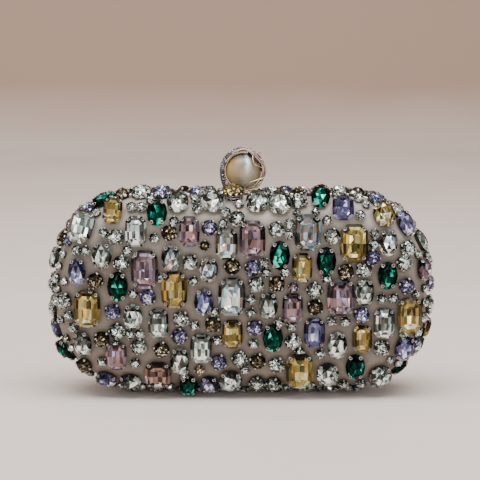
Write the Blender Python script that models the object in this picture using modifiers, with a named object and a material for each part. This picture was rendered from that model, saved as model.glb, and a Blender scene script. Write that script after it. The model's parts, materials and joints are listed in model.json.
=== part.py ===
# Evening clutch: a hard box clutch in two hinged halves, set all over with stones in claw
# settings, with a pearl knob that rocks a hooked lever to free the front half.
# Metres, +Z up. The front half faces -Y and the origin is under the middle of the clutch.
import math

import bmesh
import bpy
from mathutils import Matrix, Vector

# The skin that the satin follows: a rounded oblong with a rolled edge and a slight crown
HALF_LENGTH = 0.0913
HALF_HEIGHT = 0.0475
SIDE_STRAIGHT = 0.011
EDGE_RADIUS = 0.014
WALL_DEPTH = 0.005
CROWN = 0.003
CORNER_STEPS = 5
LONG_STEPS = 4
EDGE_STEPS = 3
FACE_RING_SHARE = 0.5
SLOPE_STEP = 0.0002

# Layers of each half, from the outside in, and the gap between neighbours
SEAT_GAP = 0.0003
COVER_THICKNESS = 0.0018
SHELL_THICKNESS = 0.0015
LINING_THICKNESS = 0.0007

# Metal frame of each half: a flange at the seam and a strip that runs inside the lining
SEAM_GAP = 0.0005
FLANGE_THICKNESS = 0.001
FLANGE_PROUD = 0.0003
STRIP_THICKNESS = 0.001
STRIP_DEPTH = 0.0085

# Stones: width and height of each cut, with how far they stand out and are let in
GRAND_SIZE = (0.0126, 0.0172)
TALL_SIZE = (0.0096, 0.0136)
OVAL_SIZE = (0.009, 0.0128)
CUSHION_SIZE = (0.0116, 0.0126)
LARGE_SIZE = (0.0102, 0.0102)
ROUND_SIZE = (0.0074, 0.0074)
RIM_SIZE = (0.008, 0.0058)
STONE_RISE = 0.0032
STONE_SINK = 0.0012
GIRDLE_SHARE = 0.42
TABLE_SHARE = 0.62
RIM_DEPTH = 0.006

# Hinge along the bottom of the seam
HINGE_LENGTH = 0.06
KNUCKLE_COUNT = 5
KNUCKLE_RADIUS = 0.0016
KNUCKLE_GAP = 0.0004
HINGE_PIN_RADIUS = 0.0006
FLOOR_GAP = 0.0001

# Clasp lever, its pivot under the rear frame, and the catch under the front frame
CLASP_X = 0.0015
PIVOT_DEPTH = 0.004
PIVOT_DROP = 0.003
PIVOT_PIN_RADIUS = 0.0006
HUB_RADIUS = 0.0018
LEVER_WIDTH = 0.0032
STEM_RADIUS = 0.0015
ARM_REACH = 0.0075
ARM_THICKNESS = 0.0015
TOOTH_THICKNESS = 0.0012
NOTCH_CLEARANCE = 0.0011
ARM_CLEARANCE = 0.0008
PUSH_ANGLE = math.radians(9)
PLATE_THICKNESS = 0.001
EAR_INSIDE = 0.0056
EAR_DROP = 0.0055
FOOT_LENGTH = 0.0055
FOOT_DEPTH = 0.006
CATCH_INSIDE = 0.006
CATCH_BAR_HEIGHT = 0.0015
CATCH_BAR_DEPTH = 0.001
CATCH_PLAY = 0.0004
RIVET_RADIUS = 0.0007
RIVET_HEAD_RADIUS = 0.0014
RIVET_HEAD_HEIGHT = 0.0007
SPRING_RADIUS = 0.0013
SPRING_WIRE = 0.00025
SPRING_COIL_GAP = 0.00045
SPRING_TURNS = 3

# Knob: a pearl on a collar inside a wire cage, with a crystal band over one side
PEARL_RADIUS = 0.00875
KNOB_CLEARANCE = 0.001
BASE_RADIUS = 0.0052
BASE_THICKNESS = 0.001
COLLAR_RADIUS = 0.002
COLLAR_HEIGHT = 0.0015
HOOP_RADIUS = 0.0095
HOOP_OFFSET = 0.0034
HOOP_WIRE = 0.00085
CROSS_WIRE = 0.0006
BAND_THICKNESS = 0.00075
BAND_WIDTH = 0.0085
BAND_START = math.radians(75)
BAND_END = math.radians(205)
# Crossing wires run from the front hoop to the rear hoop between these angles
CROSS_WIRE_ANGLES = ((66, 22), (26, 64), (-14, -48))

# Gilt stone in a deep cup on the front shoulder, at the foot of the knob
SHOULDER_SIZE = (0.011, 0.0078)
SHOULDER_X = -0.0034
SHOULDER_ARC = 0.0105
SHOULDER_TILT = math.radians(30)
SHOULDER_RISE = 0.0042

CUT_OVERRUN = 0.004

# Places that follow from the sizes above
CORNER_RADIUS = HALF_HEIGHT - SIDE_STRAIGHT / 2
CENTRE_HEIGHT = HALF_HEIGHT + STONE_RISE
FLANGE_START = SEAM_GAP / 2
FLANGE_END = FLANGE_START + FLANGE_THICKNESS
PAN_START = FLANGE_END + SEAT_GAP
SHELL_OFFSET = COVER_THICKNESS + SEAT_GAP
LINING_OFFSET = SHELL_OFFSET + SHELL_THICKNESS + SEAT_GAP
LINING_INSIDE = LINING_OFFSET + LINING_THICKNESS
FIRST_BEND = math.pi / 2 / EDGE_STEPS
# The lining leans in past its wall, so the strip keeps clear of it at its deepest
LINING_LEAN = (STRIP_DEPTH - WALL_DEPTH) * math.tan(FIRST_BEND / 2)
STRIP_OFFSET = LINING_INSIDE + LINING_LEAN + SEAT_GAP
STRIP_INSIDE = STRIP_OFFSET + STRIP_THICKNESS
STRIP_UNDERSIDE = CENTRE_HEIGHT + HALF_HEIGHT - STRIP_INSIDE
HINGE_HEIGHT = KNUCKLE_RADIUS + FLOOR_GAP
PIVOT_HEIGHT = STRIP_UNDERSIDE - PIVOT_DROP
PLATE_TOP = STRIP_UNDERSIDE - SEAT_GAP
PLATE_BOTTOM = PLATE_TOP - PLATE_THICKNESS
BASE_BOTTOM = CENTRE_HEIGHT + HALF_HEIGHT + FLANGE_PROUD + KNOB_CLEARANCE
COLLAR_BOTTOM = BASE_BOTTOM + BASE_THICKNESS + SEAT_GAP
PEARL_HEIGHT = COLLAR_BOTTOM + COLLAR_HEIGHT + SEAT_GAP + PEARL_RADIUS
CAGE_RADIUS = math.hypot(HOOP_RADIUS, HOOP_OFFSET)
BAND_RADIUS = HOOP_RADIUS + HOOP_WIRE + SEAT_GAP + BAND_THICKNESS

# Stones on a face, as shares of the half length and half height, with their tone and the
# degrees that they lean. The first two tables are stones big enough to be pieces by themselves.
GRAND_SHARES = (
    (-0.83, 0.655, "clear", -10), (-0.505, 0.285, "pink", 0), (-0.35, 0.08, "gold", 0),
    (-0.048, 0.01, "clear", 0), (0.06, 0.59, "pink", 0), (0.35, 0.66, "clear", 0),
    (0.592, 0.55, "gold", 0), (-0.81, -0.12, "gold", 0), (0.525, 0.0, "pink", 0),
    (0.31, -0.755, "gold", 0), (0.885, -0.19, "gold", 0),
)
GREEN_SHARES = (
    (-0.44, 0.84, "green", 0), (-0.648, 0.11, "green", 0), (0.203, 0.43, "green", 0),
    (0.447, 0.37, "green", 0), (0.77, 0.22, "green", 0), (0.168, -0.415, "green", 0),
    (0.605, -0.72, "green", 0),
)
TALL_SHARES = (
    (-0.67, 0.85, "gold", -4), (-0.55, 0.67, "clear", 0), (-0.27, 0.67, "pink", 0),
    (-0.075, 0.545, "clear", 0), (0.32, 0.305, "gold", 0), (0.535, 0.88, "lilac", 0),
    (0.425, 0.945, "green", 0), (-0.435, -0.27, "clear", 0), (-0.21, -0.525, "clear", 0),
    (-0.045, -0.375, "gold", 0), (0.272, -0.11, "pink", 0), (0.387, -0.365, "lilac", 0),
    (0.64, -0.43, "gold", 0), (0.755, -0.27, "clear", 0), (-0.66, -0.61, "pink", 0),
)
OVAL_SHARES = (
    (-0.73, 0.425, "clear", 0), (-0.86, 0.255, "lilac", 0), (-0.367, 0.41, "clear", 0),
    (-0.17, 0.285, "clear", 0), (0.745, 0.81, "gold", 8), (0.858, 0.68, "lilac", 15),
    (0.77, 0.555, "clear", 0), (0.65, 0.05, "clear", 0), (-0.57, -0.2, "clear", 0),
    (-0.835, -0.48, "clear", 10), (-0.195, -0.045, "lilac", 0), (-0.325, -0.655, "clear", 0),
    (0.143, -0.08, "clear", 0), (0.508, -0.495, "clear", 0), (0.86, -0.53, "lilac", -12),
    (0.957, 0.26, "pink", 0), (-0.715, -0.85, "lilac", 8), (-0.59, -0.87, "clear", 0),
    (-0.28, -0.91, "green", 0), (-0.17, -0.9, "lilac", 0),
)
CUSHION_SHARES = (
    (-0.44, -0.815, "pink", 0), (-0.055, -0.86, "clear", 0), (0.46, -0.795, "clear", 0),
    (0.735, -0.82, "clear", 4),
)
LARGE_SHARES = (
    (-0.333, 0.93, "clear", 0), (-0.15, 0.93, "clear", 0), (0.083, 0.93, "clear", 0),
    (0.202, 0.92, "clear", 0),
)
ROUND_SHARES = (
    (-0.655, 0.61, "clear", 0), (-0.628, 0.345, "clear", 0), (-0.765, 0.165, "brown", 0),
    (-0.375, 0.655, "brown", 0), (-0.165, 0.705, "lilac", 0), (-0.268, 0.36, "clear", 0),
    (-0.045, 0.315, "brown", 0), (-0.02, 0.79, "clear", 0), (0.185, 0.69, "clear", 0),
    (0.06, 0.30, "lilac", 0), (0.079, 0.13, "clear", 0), (0.187, 0.14, "brown", 0),
    (0.385, 0.075, "clear", 0), (0.478, 0.62, "clear", 0), (0.872, 0.485, "clear", 0),
    (0.55, 0.26, "brown", 0), (0.645, 0.28, "clear", 0), (0.69, 0.4, "lilac", 0),
    (0.855, 0.345, "clear", 0), (0.87, 0.11, "lilac", 0), (-0.93, -0.05, "clear", 0),
    (-0.675, -0.15, "lilac", 0), (-0.735, -0.435, "brown", 0), (-0.655, -0.35, "clear", 0),
    (-0.54, -0.51, "clear", 0), (-0.83, -0.715, "brown", 0), (-0.49, 0.0, "lilac", 0),
    (-0.315, -0.22, "clear", 0), (-0.147, -0.275, "brown", 0), (-0.325, -0.40, "lilac", 0),
    (-0.42, -0.54, "brown", 0), (-0.118, -0.67, "lilac", 0), (0.39, -0.1, "brown", 0),
    (0.073, -0.31, "lilac", 0), (0.275, -0.455, "clear", 0), (-0.008, -0.635, "clear", 0),
    (0.088, -0.66, "brown", 0), (0.19, -0.7, "clear", 0), (0.635, -0.185, "lilac", 0),
    (0.745, -0.525, "clear", 0), (0.085, -0.89, "clear", 0), (0.175, -0.9, "clear", 0),
    (0.305, 0.94, "clear", 0),
)
# Stones round the rim beside the seam: how far along the outline they sit, clockwise from
# the middle of the top, as a share of the whole way round
RIM_SHARES = (
    0.032, 0.058, 0.098, 0.135, 0.158, 0.178, 0.197, 0.219, 0.241, 0.263, 0.286, 0.31, 0.334,
    0.358, 0.382, 0.405, 0.435, 0.465, 0.495, 0.525, 0.555, 0.585, 0.61, 0.635, 0.66, 0.688,
    0.713, 0.733, 0.757, 0.785, 0.806, 0.826, 0.858, 0.876, 0.897, 0.918, 0.955,
)

TONE_COLOURS = {
    "clear": (0.72, 0.76, 0.74), "gold": (0.62, 0.42, 0.14), "pink": (0.62, 0.4, 0.42),
    "lilac": (0.32, 0.27, 0.48), "green": (0.0, 0.16, 0.09), "brown": (0.22, 0.13, 0.06),
}
SATIN = (0.3, 0.25, 0.22)
SILVER = (0.55, 0.53, 0.5)
GILT = (0.62, 0.45, 0.22)

FRONT, REAR = -1, 1


def clear_scene():
    for thing in list(bpy.data.objects):
        bpy.data.objects.remove(thing, do_unlink=True)


def new_collection(name):
    collection = bpy.data.collections.new(name)
    bpy.context.scene.collection.children.link(collection)
    return collection


clear_scene()
CLUTCH = new_collection("evening_clutch")
CUTTERS = new_collection("cutters")


def finish(thing, colour, roughness, metallic):
    # Gives an object a material of its own
    material = bpy.data.materials.new(thing.name + "_finish")
    material.use_nodes = True
    shader = material.node_tree.nodes["Principled BSDF"]
    shader.inputs["Base Color"].default_value = (*colour, 1)
    shader.inputs["Roughness"].default_value = roughness
    shader.inputs["Metallic"].default_value = metallic
    thing.data.materials.append(material)
    return thing


def add_mesh(name, mesh_data, collection=CLUTCH):
    mesh = bpy.data.meshes.new(name)
    mesh_data.to_mesh(mesh)
    mesh_data.free()
    thing = bpy.data.objects.new(name, mesh)
    collection.objects.link(thing)
    return thing


def as_cutter(thing):
    # A shape that only cuts or joins another: it is drawn as wire and left out of renders
    for collection in list(thing.users_collection):
        collection.objects.unlink(thing)
    CUTTERS.objects.link(thing)
    thing.hide_render = True
    thing.display_type = "WIRE"
    return thing


def combine(thing, other, operation, crowded=False):
    # A crowded shape is one whose own parts may run into each other
    modifier = thing.modifiers.new(operation.lower(), "BOOLEAN")
    modifier.operation = operation
    modifier.object = as_cutter(other)
    modifier.use_self = crowded
    return thing


def box(name, low, high):
    shape = bmesh.new()
    bmesh.ops.create_cube(shape, size=1)
    middle = (Vector(low) + Vector(high)) / 2
    size = Vector(high) - Vector(low)
    bmesh.ops.transform(shape, verts=shape.verts,
                        matrix=Matrix.Translation(middle) @ Matrix.Diagonal((*size, 1)))
    return add_mesh(name, shape)


def rod(name, centre, radius, length, axis="Z", sides=16):
    # A plain round bar, standing along one of the axes
    turns = {"X": Matrix.Rotation(math.pi / 2, 4, "Y"), "Z": Matrix.Identity(4)}
    shape = bmesh.new()
    bmesh.ops.create_cone(shape, cap_ends=True, segments=sides, radius1=radius,
                          radius2=radius, depth=length,
                          matrix=Matrix.Translation(centre) @ turns[axis])
    return add_mesh(name, shape)


def curve_to_mesh(curve_object):
    # Booleans need a mesh, so the filled curve becomes one with its caps welded on
    bpy.context.view_layer.update()
    graph = bpy.context.evaluated_depsgraph_get()
    mesh = bpy.data.meshes.new_from_object(curve_object.evaluated_get(graph))
    shape = bmesh.new()
    shape.from_mesh(mesh)
    bmesh.ops.remove_doubles(shape, verts=shape.verts, dist=SEAT_GAP / 100)
    shape.to_mesh(mesh)
    shape.free()
    thing = bpy.data.objects.new(curve_object.name + "_solid", mesh)
    thing.matrix_world = curve_object.matrix_world
    CLUTCH.objects.link(thing)
    bpy.data.objects.remove(curve_object)
    return thing


def round_outline(inset):
    # The oblong's outline at a distance inside the skin, as X and Z about its centre
    radius = CORNER_RADIUS - inset
    long_straight = HALF_LENGTH - CORNER_RADIUS
    short_straight = HALF_HEIGHT - CORNER_RADIUS
    points = []
    for quarter, (right, up) in enumerate(((1, 1), (-1, 1), (-1, -1), (1, -1))):
        for step in range(CORNER_STEPS + 1):
            angle = (quarter + step / CORNER_STEPS) * math.pi / 2
            points.append((right * long_straight + radius * math.cos(angle),
                           up * short_straight + radius * math.sin(angle)))
        if quarter in (0, 2):
            start = points[-1]
            for step in range(1, LONG_STEPS):
                run = 2 * right * long_straight * step / LONG_STEPS
                points.append((start[0] - run, start[1]))
    return points


def crown_at(x, z):
    return CROWN * (1 - (x / HALF_LENGTH) ** 2) * (1 - (z / HALF_HEIGHT) ** 2)


def pan_rings(offset):
    # Sections of a dish from the seam to the middle of its face: points as X, depth, Z
    edge = EDGE_RADIUS - offset
    rings = [[(x, PAN_START, z) for x, z in round_outline(offset)]]
    for step in range(EDGE_STEPS + 1):
        angle = step / EDGE_STEPS * math.pi / 2
        inset = offset + edge * (1 - math.cos(angle))
        rings.append([(x, WALL_DEPTH + math.sin(angle) * (edge + crown_at(x, z)), z)
                      for x, z in round_outline(inset)])
    inner = []
    for x, _, z in rings[-1]:
        x, z = x * FACE_RING_SHARE, z * FACE_RING_SHARE
        inner.append((x, WALL_DEPTH + edge + crown_at(x, z), z))
    rings.append(inner)
    return rings


def stitch(shape, ring, following):
    # Faces between one ring of points and the next
    count = len(ring)
    for index in range(count):
        after = (index + 1) % count
        shape.faces.new((ring[index], ring[after], following[after], following[index]))


def pan(name, offset, thickness, side):
    # One dished layer: an open surface that Solidify thickens inwards
    shape = bmesh.new()
    rings = [[shape.verts.new((x, side * depth, CENTRE_HEIGHT + z)) for x, depth, z in ring]
             for ring in pan_rings(offset)]
    middle_depth = WALL_DEPTH + EDGE_RADIUS - offset + CROWN
    middle = shape.verts.new((0, side * middle_depth, CENTRE_HEIGHT))
    for ring, following in zip(rings, rings[1:]):
        stitch(shape, ring, following)
    for start, end in zip(rings[-1], rings[-1][1:] + rings[-1][:1]):
        shape.faces.new((start, end, middle))
    if side == REAR:
        bmesh.ops.reverse_faces(shape, faces=shape.faces)
    thing = add_mesh(name, shape)
    thicken(thing, thickness)
    return thing


def thicken(thing, thickness):
    modifier = thing.modifiers.new("thickness", "SOLIDIFY")
    modifier.thickness = thickness
    modifier.offset = -1
    modifier.use_even_offset = True


def lofted_ring(name, section, side):
    # A closed ring that follows the outline: its section is a loop of insets and depths
    shape = bmesh.new()
    rings = [[shape.verts.new((x, side * depth, CENTRE_HEIGHT + z))
              for x, z in round_outline(inset)] for inset, depth in section]
    for ring, following in zip(rings, rings[1:] + rings[:1]):
        stitch(shape, ring, following)
    if side == REAR:
        bmesh.ops.reverse_faces(shape, faces=shape.faces)
    return add_mesh(name, shape)


def edge_distance(x, z):
    # How far inside the outline a place on the face lies
    over = abs(x) - (HALF_LENGTH - CORNER_RADIUS)
    up = abs(z) - (HALF_HEIGHT - CORNER_RADIUS)
    return CORNER_RADIUS - math.hypot(max(over, 0), max(up, 0)) - min(max(over, up), 0)


def skin_depth(x, z):
    inset = min(max(edge_distance(x, z), 0), EDGE_RADIUS)
    rolled = math.sin(math.acos(1 - inset / EDGE_RADIUS))
    return WALL_DEPTH + rolled * (EDGE_RADIUS + crown_at(x, z))


def face_seat(u_share, v_share, lean, side):
    # Where a stone sits on a face: columns across, up, out of the face, and the place
    x, z = u_share * HALF_LENGTH, v_share * HALF_HEIGHT
    slope_x = (skin_depth(x + SLOPE_STEP, z) - skin_depth(x - SLOPE_STEP, z)) / (2 * SLOPE_STEP)
    slope_z = (skin_depth(x, z + SLOPE_STEP) - skin_depth(x, z - SLOPE_STEP)) / (2 * SLOPE_STEP)
    out = Vector((-slope_x, -1, -slope_z)).normalized()
    place = Vector((x, -skin_depth(x, z), z))
    up = Vector((0, 0, 1))
    up = (up - out * up.dot(out)).normalized()
    up = Matrix.Rotation(math.radians(lean), 3, out) @ up
    return seat_matrix(place, up, out, side)


def seat_matrix(place, up, out, side):
    # The rear half carries the front half's layout turned half way round
    across = up.cross(out)
    matrix = Matrix((across, up, out)).transposed().to_4x4()
    matrix.translation = place
    if side == REAR:
        matrix = Matrix.Rotation(math.pi, 4, "Z") @ matrix
    return Matrix.Translation((0, 0, CENTRE_HEIGHT)) @ matrix


def outline_place(share):
    # The skin's outline a share of the way round, clockwise from the middle of the top,
    # with the direction that points out of it
    long_straight = HALF_LENGTH - CORNER_RADIUS
    short_straight = HALF_HEIGHT - CORNER_RADIUS
    quarter_arc = CORNER_RADIUS * math.pi / 2
    travel = share * 4 * (long_straight + short_straight + quarter_arc)
    runs = ((long_straight, 1, 1), (quarter_arc, 1, 1), (2 * short_straight, 1, 0),
            (quarter_arc, 1, -1), (2 * long_straight, 0, -1), (quarter_arc, -1, -1),
            (2 * short_straight, -1, 0), (quarter_arc, -1, 1), (long_straight, -1, 1))
    for index, (length, right, up) in enumerate(runs):
        if travel <= length or index == len(runs) - 1:
            break
        travel -= length
    if index in (1, 3, 5, 7):
        angle = math.pi / 2 * (2 - (index + 1) / 2) - travel / CORNER_RADIUS
        out = (math.cos(angle), math.sin(angle))
        return (right * long_straight + CORNER_RADIUS * out[0],
                up * short_straight + CORNER_RADIUS * out[1]), out
    straights = {0: ((travel, HALF_HEIGHT), (0, 1)),
                 2: ((HALF_LENGTH, short_straight - travel), (1, 0)),
                 4: ((long_straight - travel, -HALF_HEIGHT), (0, -1)),
                 6: ((-HALF_LENGTH, travel - short_straight), (-1, 0)),
                 8: ((travel - long_straight, HALF_HEIGHT), (0, 1))}
    return straights[index]


def rim_seat(share, arc, roll, side):
    # A seat on the rim: arc is the way round the section from the seam, and roll is how
    # far the stone leans over the edge from facing straight out of the outline
    (x, z), (out_x, out_z) = outline_place(share)
    around = max(arc - WALL_DEPTH, 0) / EDGE_RADIUS
    inset = EDGE_RADIUS * (1 - math.cos(around))
    depth = min(arc, WALL_DEPTH) + EDGE_RADIUS * math.sin(around)
    place = Vector((x - inset * out_x, -depth, z - inset * out_z))
    out = Vector((out_x * math.cos(roll), -math.sin(roll), out_z * math.cos(roll)))
    up = Vector((out_x * math.sin(roll), math.cos(roll), out_z * math.sin(roll)))
    return seat_matrix(place, up, out, side)


def add_stone(shape, seat, size, sides, levels):
    # A cut stone: rings of an octagon or hexagon, each level a height and a share
    angles = [(index + 0.5) * 2 * math.pi / sides for index in range(sides)]
    widest = max(math.cos(angle) for angle in angles)
    tallest = max(math.sin(angle) for angle in angles)
    rings = []
    for height, share in levels:
        ring = []
        for angle in angles:
            x = size[0] / 2 * share * math.cos(angle) / widest
            y = size[1] / 2 * share * math.sin(angle) / tallest
            ring.append(shape.verts.new(seat @ Vector((x, y, height))))
        rings.append(ring)
    for ring, following in zip(rings, rings[1:]):
        stitch(shape, ring, following)
    shape.faces.new(reversed(rings[0]))
    shape.faces.new(rings[-1])


def joined_levels():
    return ((-STONE_SINK, 1), (STONE_RISE, TABLE_SHARE))


def loose_levels():
    return ((SEAT_GAP, 1), (STONE_RISE * GIRDLE_SHARE, 1), (STONE_RISE, TABLE_SHARE))


def joined_stones(name, side):
    # The stones that are sewn down as one with the satin of a half
    shape = bmesh.new()
    for shares, size, sides in ((TALL_SHARES, TALL_SIZE, 8), (OVAL_SHARES, OVAL_SIZE, 6),
                                (CUSHION_SHARES, CUSHION_SIZE, 8), (LARGE_SHARES, LARGE_SIZE, 6),
                                (ROUND_SHARES, ROUND_SIZE, 6)):
        for u_share, v_share, _, lean in shares:
            add_stone(shape, face_seat(u_share, v_share, lean, side), size, sides,
                      joined_levels())
    for share in RIM_SHARES:
        seat = rim_seat(share, RIM_DEPTH, 0, side)
        add_stone(shape, seat, RIM_SIZE, 6, joined_levels())
    return add_mesh(name, shape)


def loose_stones(prefix, side):
    # The largest stones and the green ones, each a piece by itself
    counts = {}
    for shares, size in ((GRAND_SHARES, GRAND_SIZE), (GREEN_SHARES, TALL_SIZE)):
        for u_share, v_share, tone, lean in shares:
            counts[tone] = counts.get(tone, 0) + 1
            shape = bmesh.new()
            add_stone(shape, face_seat(u_share, v_share, lean, side), size, 8, loose_levels())
            stone = add_mesh(f"{prefix}_{tone}_stone_{counts[tone]}", shape)
            finish(stone, TONE_COLOURS[tone], 0.08, 0)


def shoulder_stone():
    # The gilt stone in its deep cup, on the shoulder in front of the knob
    shape = bmesh.new()
    perimeter = 4 * (HALF_LENGTH + HALF_HEIGHT - 2 * CORNER_RADIUS) + 2 * math.pi * CORNER_RADIUS
    seat = rim_seat(1 + SHOULDER_X / perimeter, SHOULDER_ARC, SHOULDER_TILT, FRONT)
    levels = ((SEAT_GAP, 1), (SHOULDER_RISE * GIRDLE_SHARE, 1), (SHOULDER_RISE, TABLE_SHARE))
    add_stone(shape, seat, SHOULDER_SIZE, 8, levels)
    finish(add_mesh("shoulder_stone", shape), TONE_COLOURS["gold"], 0.2, 0.4)


def notch_box(name):
    # Room for the knob's stem to rock, through every layer at the top of the seam
    half_width = LEVER_WIDTH / 2 + NOTCH_CLEARANCE
    travel = (CENTRE_HEIGHT + HALF_HEIGHT - PIVOT_HEIGHT) * math.sin(PUSH_ANGLE)
    low = (CLASP_X - half_width, -STEM_RADIUS - NOTCH_CLEARANCE, PLATE_TOP)
    high = (CLASP_X + half_width, STEM_RADIUS + travel + NOTCH_CLEARANCE,
            CENTRE_HEIGHT + HALF_HEIGHT + CUT_OVERRUN)
    return box(name, low, high)


def make_layers(prefix, side):
    cover = pan(prefix + "_cover", 0, COVER_THICKNESS, side)
    combine(cover, joined_stones(prefix + "_set_stones", side), "UNION", crowded=True)
    combine(cover, notch_box(prefix + "_cover_notch"), "DIFFERENCE")
    finish(cover, SATIN, 0.45, 0)
    shell = pan(prefix + "_shell", SHELL_OFFSET, SHELL_THICKNESS, side)
    combine(shell, notch_box(prefix + "_shell_notch"), "DIFFERENCE")
    finish(shell, (0.05, 0.05, 0.05), 0.6, 0)
    lining = pan(prefix + "_lining", LINING_OFFSET, LINING_THICKNESS, side)
    combine(lining, notch_box(prefix + "_lining_notch"), "DIFFERENCE")
    finish(lining, (0.42, 0.36, 0.32), 0.5, 0)


def knuckle_spans():
    # Start and end of each knuckle along the hinge
    length = (HINGE_LENGTH - (KNUCKLE_COUNT - 1) * KNUCKLE_GAP) / KNUCKLE_COUNT
    spans = []
    for index in range(KNUCKLE_COUNT):
        start = index * (length + KNUCKLE_GAP) - HINGE_LENGTH / 2
        spans.append((start, start + length))
    return spans


def make_frame(prefix, side):
    # L-shaped frame ring, with this half's knuckles joined to its bottom edge
    section = ((-FLANGE_PROUD, FLANGE_START), (-FLANGE_PROUD, FLANGE_END),
               (STRIP_OFFSET, FLANGE_END), (STRIP_OFFSET, STRIP_DEPTH),
               (STRIP_INSIDE, STRIP_DEPTH), (STRIP_INSIDE, FLANGE_START))
    frame = lofted_ring(prefix + "_frame", section, side)
    first_own = 0 if side == REAR else 1
    for index, (start, end) in enumerate(knuckle_spans()):
        centre = ((start + end) / 2, 0, HINGE_HEIGHT)
        if index % 2 != first_own:
            relief = rod(f"{prefix}_relief_{index}", centre, KNUCKLE_RADIUS + SEAT_GAP,
                         end - start + 2 * SEAT_GAP, "X", 12)
            combine(frame, relief, "DIFFERENCE")
    for index, (start, end) in enumerate(knuckle_spans()):
        centre = ((start + end) / 2, 0, HINGE_HEIGHT)
        if index % 2 == first_own:
            knuckle = rod(f"{prefix}_knuckle_{index}", centre, KNUCKLE_RADIUS, end - start, "X",
                          12)
            combine(frame, knuckle, "UNION")
    bore = rod(prefix + "_hinge_bore", (0, 0, HINGE_HEIGHT), HINGE_PIN_RADIUS + SEAT_GAP,
               HINGE_LENGTH + CUT_OVERRUN, "X", 12)
    combine(frame, bore, "DIFFERENCE")
    combine(frame, notch_box(prefix + "_frame_notch"), "DIFFERENCE")
    finish(frame, SILVER, 0.3, 1)
    return frame


def make_arm_slot(frame):
    # The front strip is slotted so that the hook's arm can lift through it
    half_width = LEVER_WIDTH / 2 + ARM_CLEARANCE
    slot = box("arm_slot", (CLASP_X - half_width, -ARM_REACH - ARM_CLEARANCE, PLATE_BOTTOM),
               (CLASP_X + half_width, 0, STRIP_UNDERSIDE + STRIP_THICKNESS + SEAT_GAP / 2))
    combine(frame, slot, "DIFFERENCE")


def make_hinge_pin():
    pin = rod("hinge_pin", (0, 0, HINGE_HEIGHT), HINGE_PIN_RADIUS, HINGE_LENGTH, "X", 12)
    finish(pin, SILVER, 0.3, 1)


def rivet_places(inside, depth):
    reach = inside + PLATE_THICKNESS + (FOOT_LENGTH - PLATE_THICKNESS) / 2
    return [(CLASP_X + way * reach, depth) for way in (-1, 1)]


def make_rivets(prefix, frame, plate, inside, depth):
    # A rivet through each foot of a plate and the frame's strip above it
    names = (prefix + "_rivet_left", prefix + "_rivet_right")
    for name, (x, y) in zip(names, rivet_places(inside, depth)):
        for thing in (frame, plate):
            hole = rod(f"{name}_hole_{thing.name}", (x, y, STRIP_UNDERSIDE),
                       RIVET_RADIUS + SEAT_GAP, 2 * CUT_OVERRUN, sides=12)
            combine(thing, hole, "DIFFERENCE")
        top = STRIP_UNDERSIDE + STRIP_THICKNESS
        bottom = PLATE_BOTTOM - SEAT_GAP
        inside_head = bottom - RIVET_HEAD_HEIGHT / 2
        shank = rod(name, (x, y, (top + inside_head) / 2), RIVET_RADIUS, top - inside_head,
                    sides=12)
        head = rod(name + "_head", (x, y, bottom - RIVET_HEAD_HEIGHT / 2), RIVET_HEAD_RADIUS,
                   RIVET_HEAD_HEIGHT, sides=12)
        combine(shank, head, "UNION")
        finish(shank, SILVER, 0.35, 1)


def plate_box(name, x_range, y_range, z_range):
    return box(name, (CLASP_X + x_range[0], y_range[0], z_range[0]),
               (CLASP_X + x_range[1], y_range[1], z_range[1]))


def make_bracket(frame):
    # Channel that carries the lever: a back, two ears, and two feet under the rear strip
    start = PIVOT_DEPTH - FOOT_DEPTH / 2 + PLATE_THICKNESS / 2
    end = start + FOOT_DEPTH
    ear_out = EAR_INSIDE + PLATE_THICKNESS
    low = PLATE_TOP - EAR_DROP
    bracket = plate_box("clasp_bracket", (-ear_out, ear_out), (end - PLATE_THICKNESS, end),
                        (low, PLATE_TOP))
    for way, word in ((-1, "left"), (1, "right")):
        ear = sorted((way * EAR_INSIDE, way * ear_out))
        foot = sorted((way * EAR_INSIDE, way * (EAR_INSIDE + FOOT_LENGTH)))
        combine(bracket, plate_box("ear_" + word, ear, (start, end), (low, PLATE_TOP)), "UNION")
        combine(bracket, plate_box("foot_" + word, foot, (start, end),
                                   (PLATE_BOTTOM, PLATE_TOP)), "UNION")
    pivot = (CLASP_X, PIVOT_DEPTH, PIVOT_HEIGHT)
    bore = rod("pivot_bore", pivot, PIVOT_PIN_RADIUS + SEAT_GAP, 2 * ear_out + CUT_OVERRUN, "X",
               12)
    combine(bracket, bore, "DIFFERENCE")
    make_rivets("bracket", frame, bracket, EAR_INSIDE, (start + end) / 2)
    finish(bracket, SILVER, 0.4, 1)
    pin = rod("clasp_pin", pivot, PIVOT_PIN_RADIUS, 2 * ear_out, "X", 12)
    finish(pin, SILVER, 0.3, 1)


def make_spring():
    # Torsion spring that lies round the pin, between the lever's hub and an ear
    pitch = 2 * SPRING_WIRE + SPRING_COIL_GAP
    first = CLASP_X + LEVER_WIDTH / 2 + SEAT_GAP + SPRING_WIRE
    points_per_turn = 10
    curve = bpy.data.curves.new("clasp_spring", "CURVE")
    curve.dimensions = "3D"
    curve.bevel_depth = SPRING_WIRE
    curve.bevel_resolution = 1
    curve.use_fill_caps = True
    spline = curve.splines.new("POLY")
    spline.points.add(SPRING_TURNS * points_per_turn)
    for index, point in enumerate(spline.points):
        angle = index / points_per_turn * 2 * math.pi
        point.co = (first + pitch * index / points_per_turn,
                    PIVOT_DEPTH + SPRING_RADIUS * math.cos(angle),
                    PIVOT_HEIGHT + SPRING_RADIUS * math.sin(angle), 1)
    spring = bpy.data.objects.new("clasp_spring", curve)
    CLUTCH.objects.link(spring)
    finish(spring, SILVER, 0.35, 1)


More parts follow.
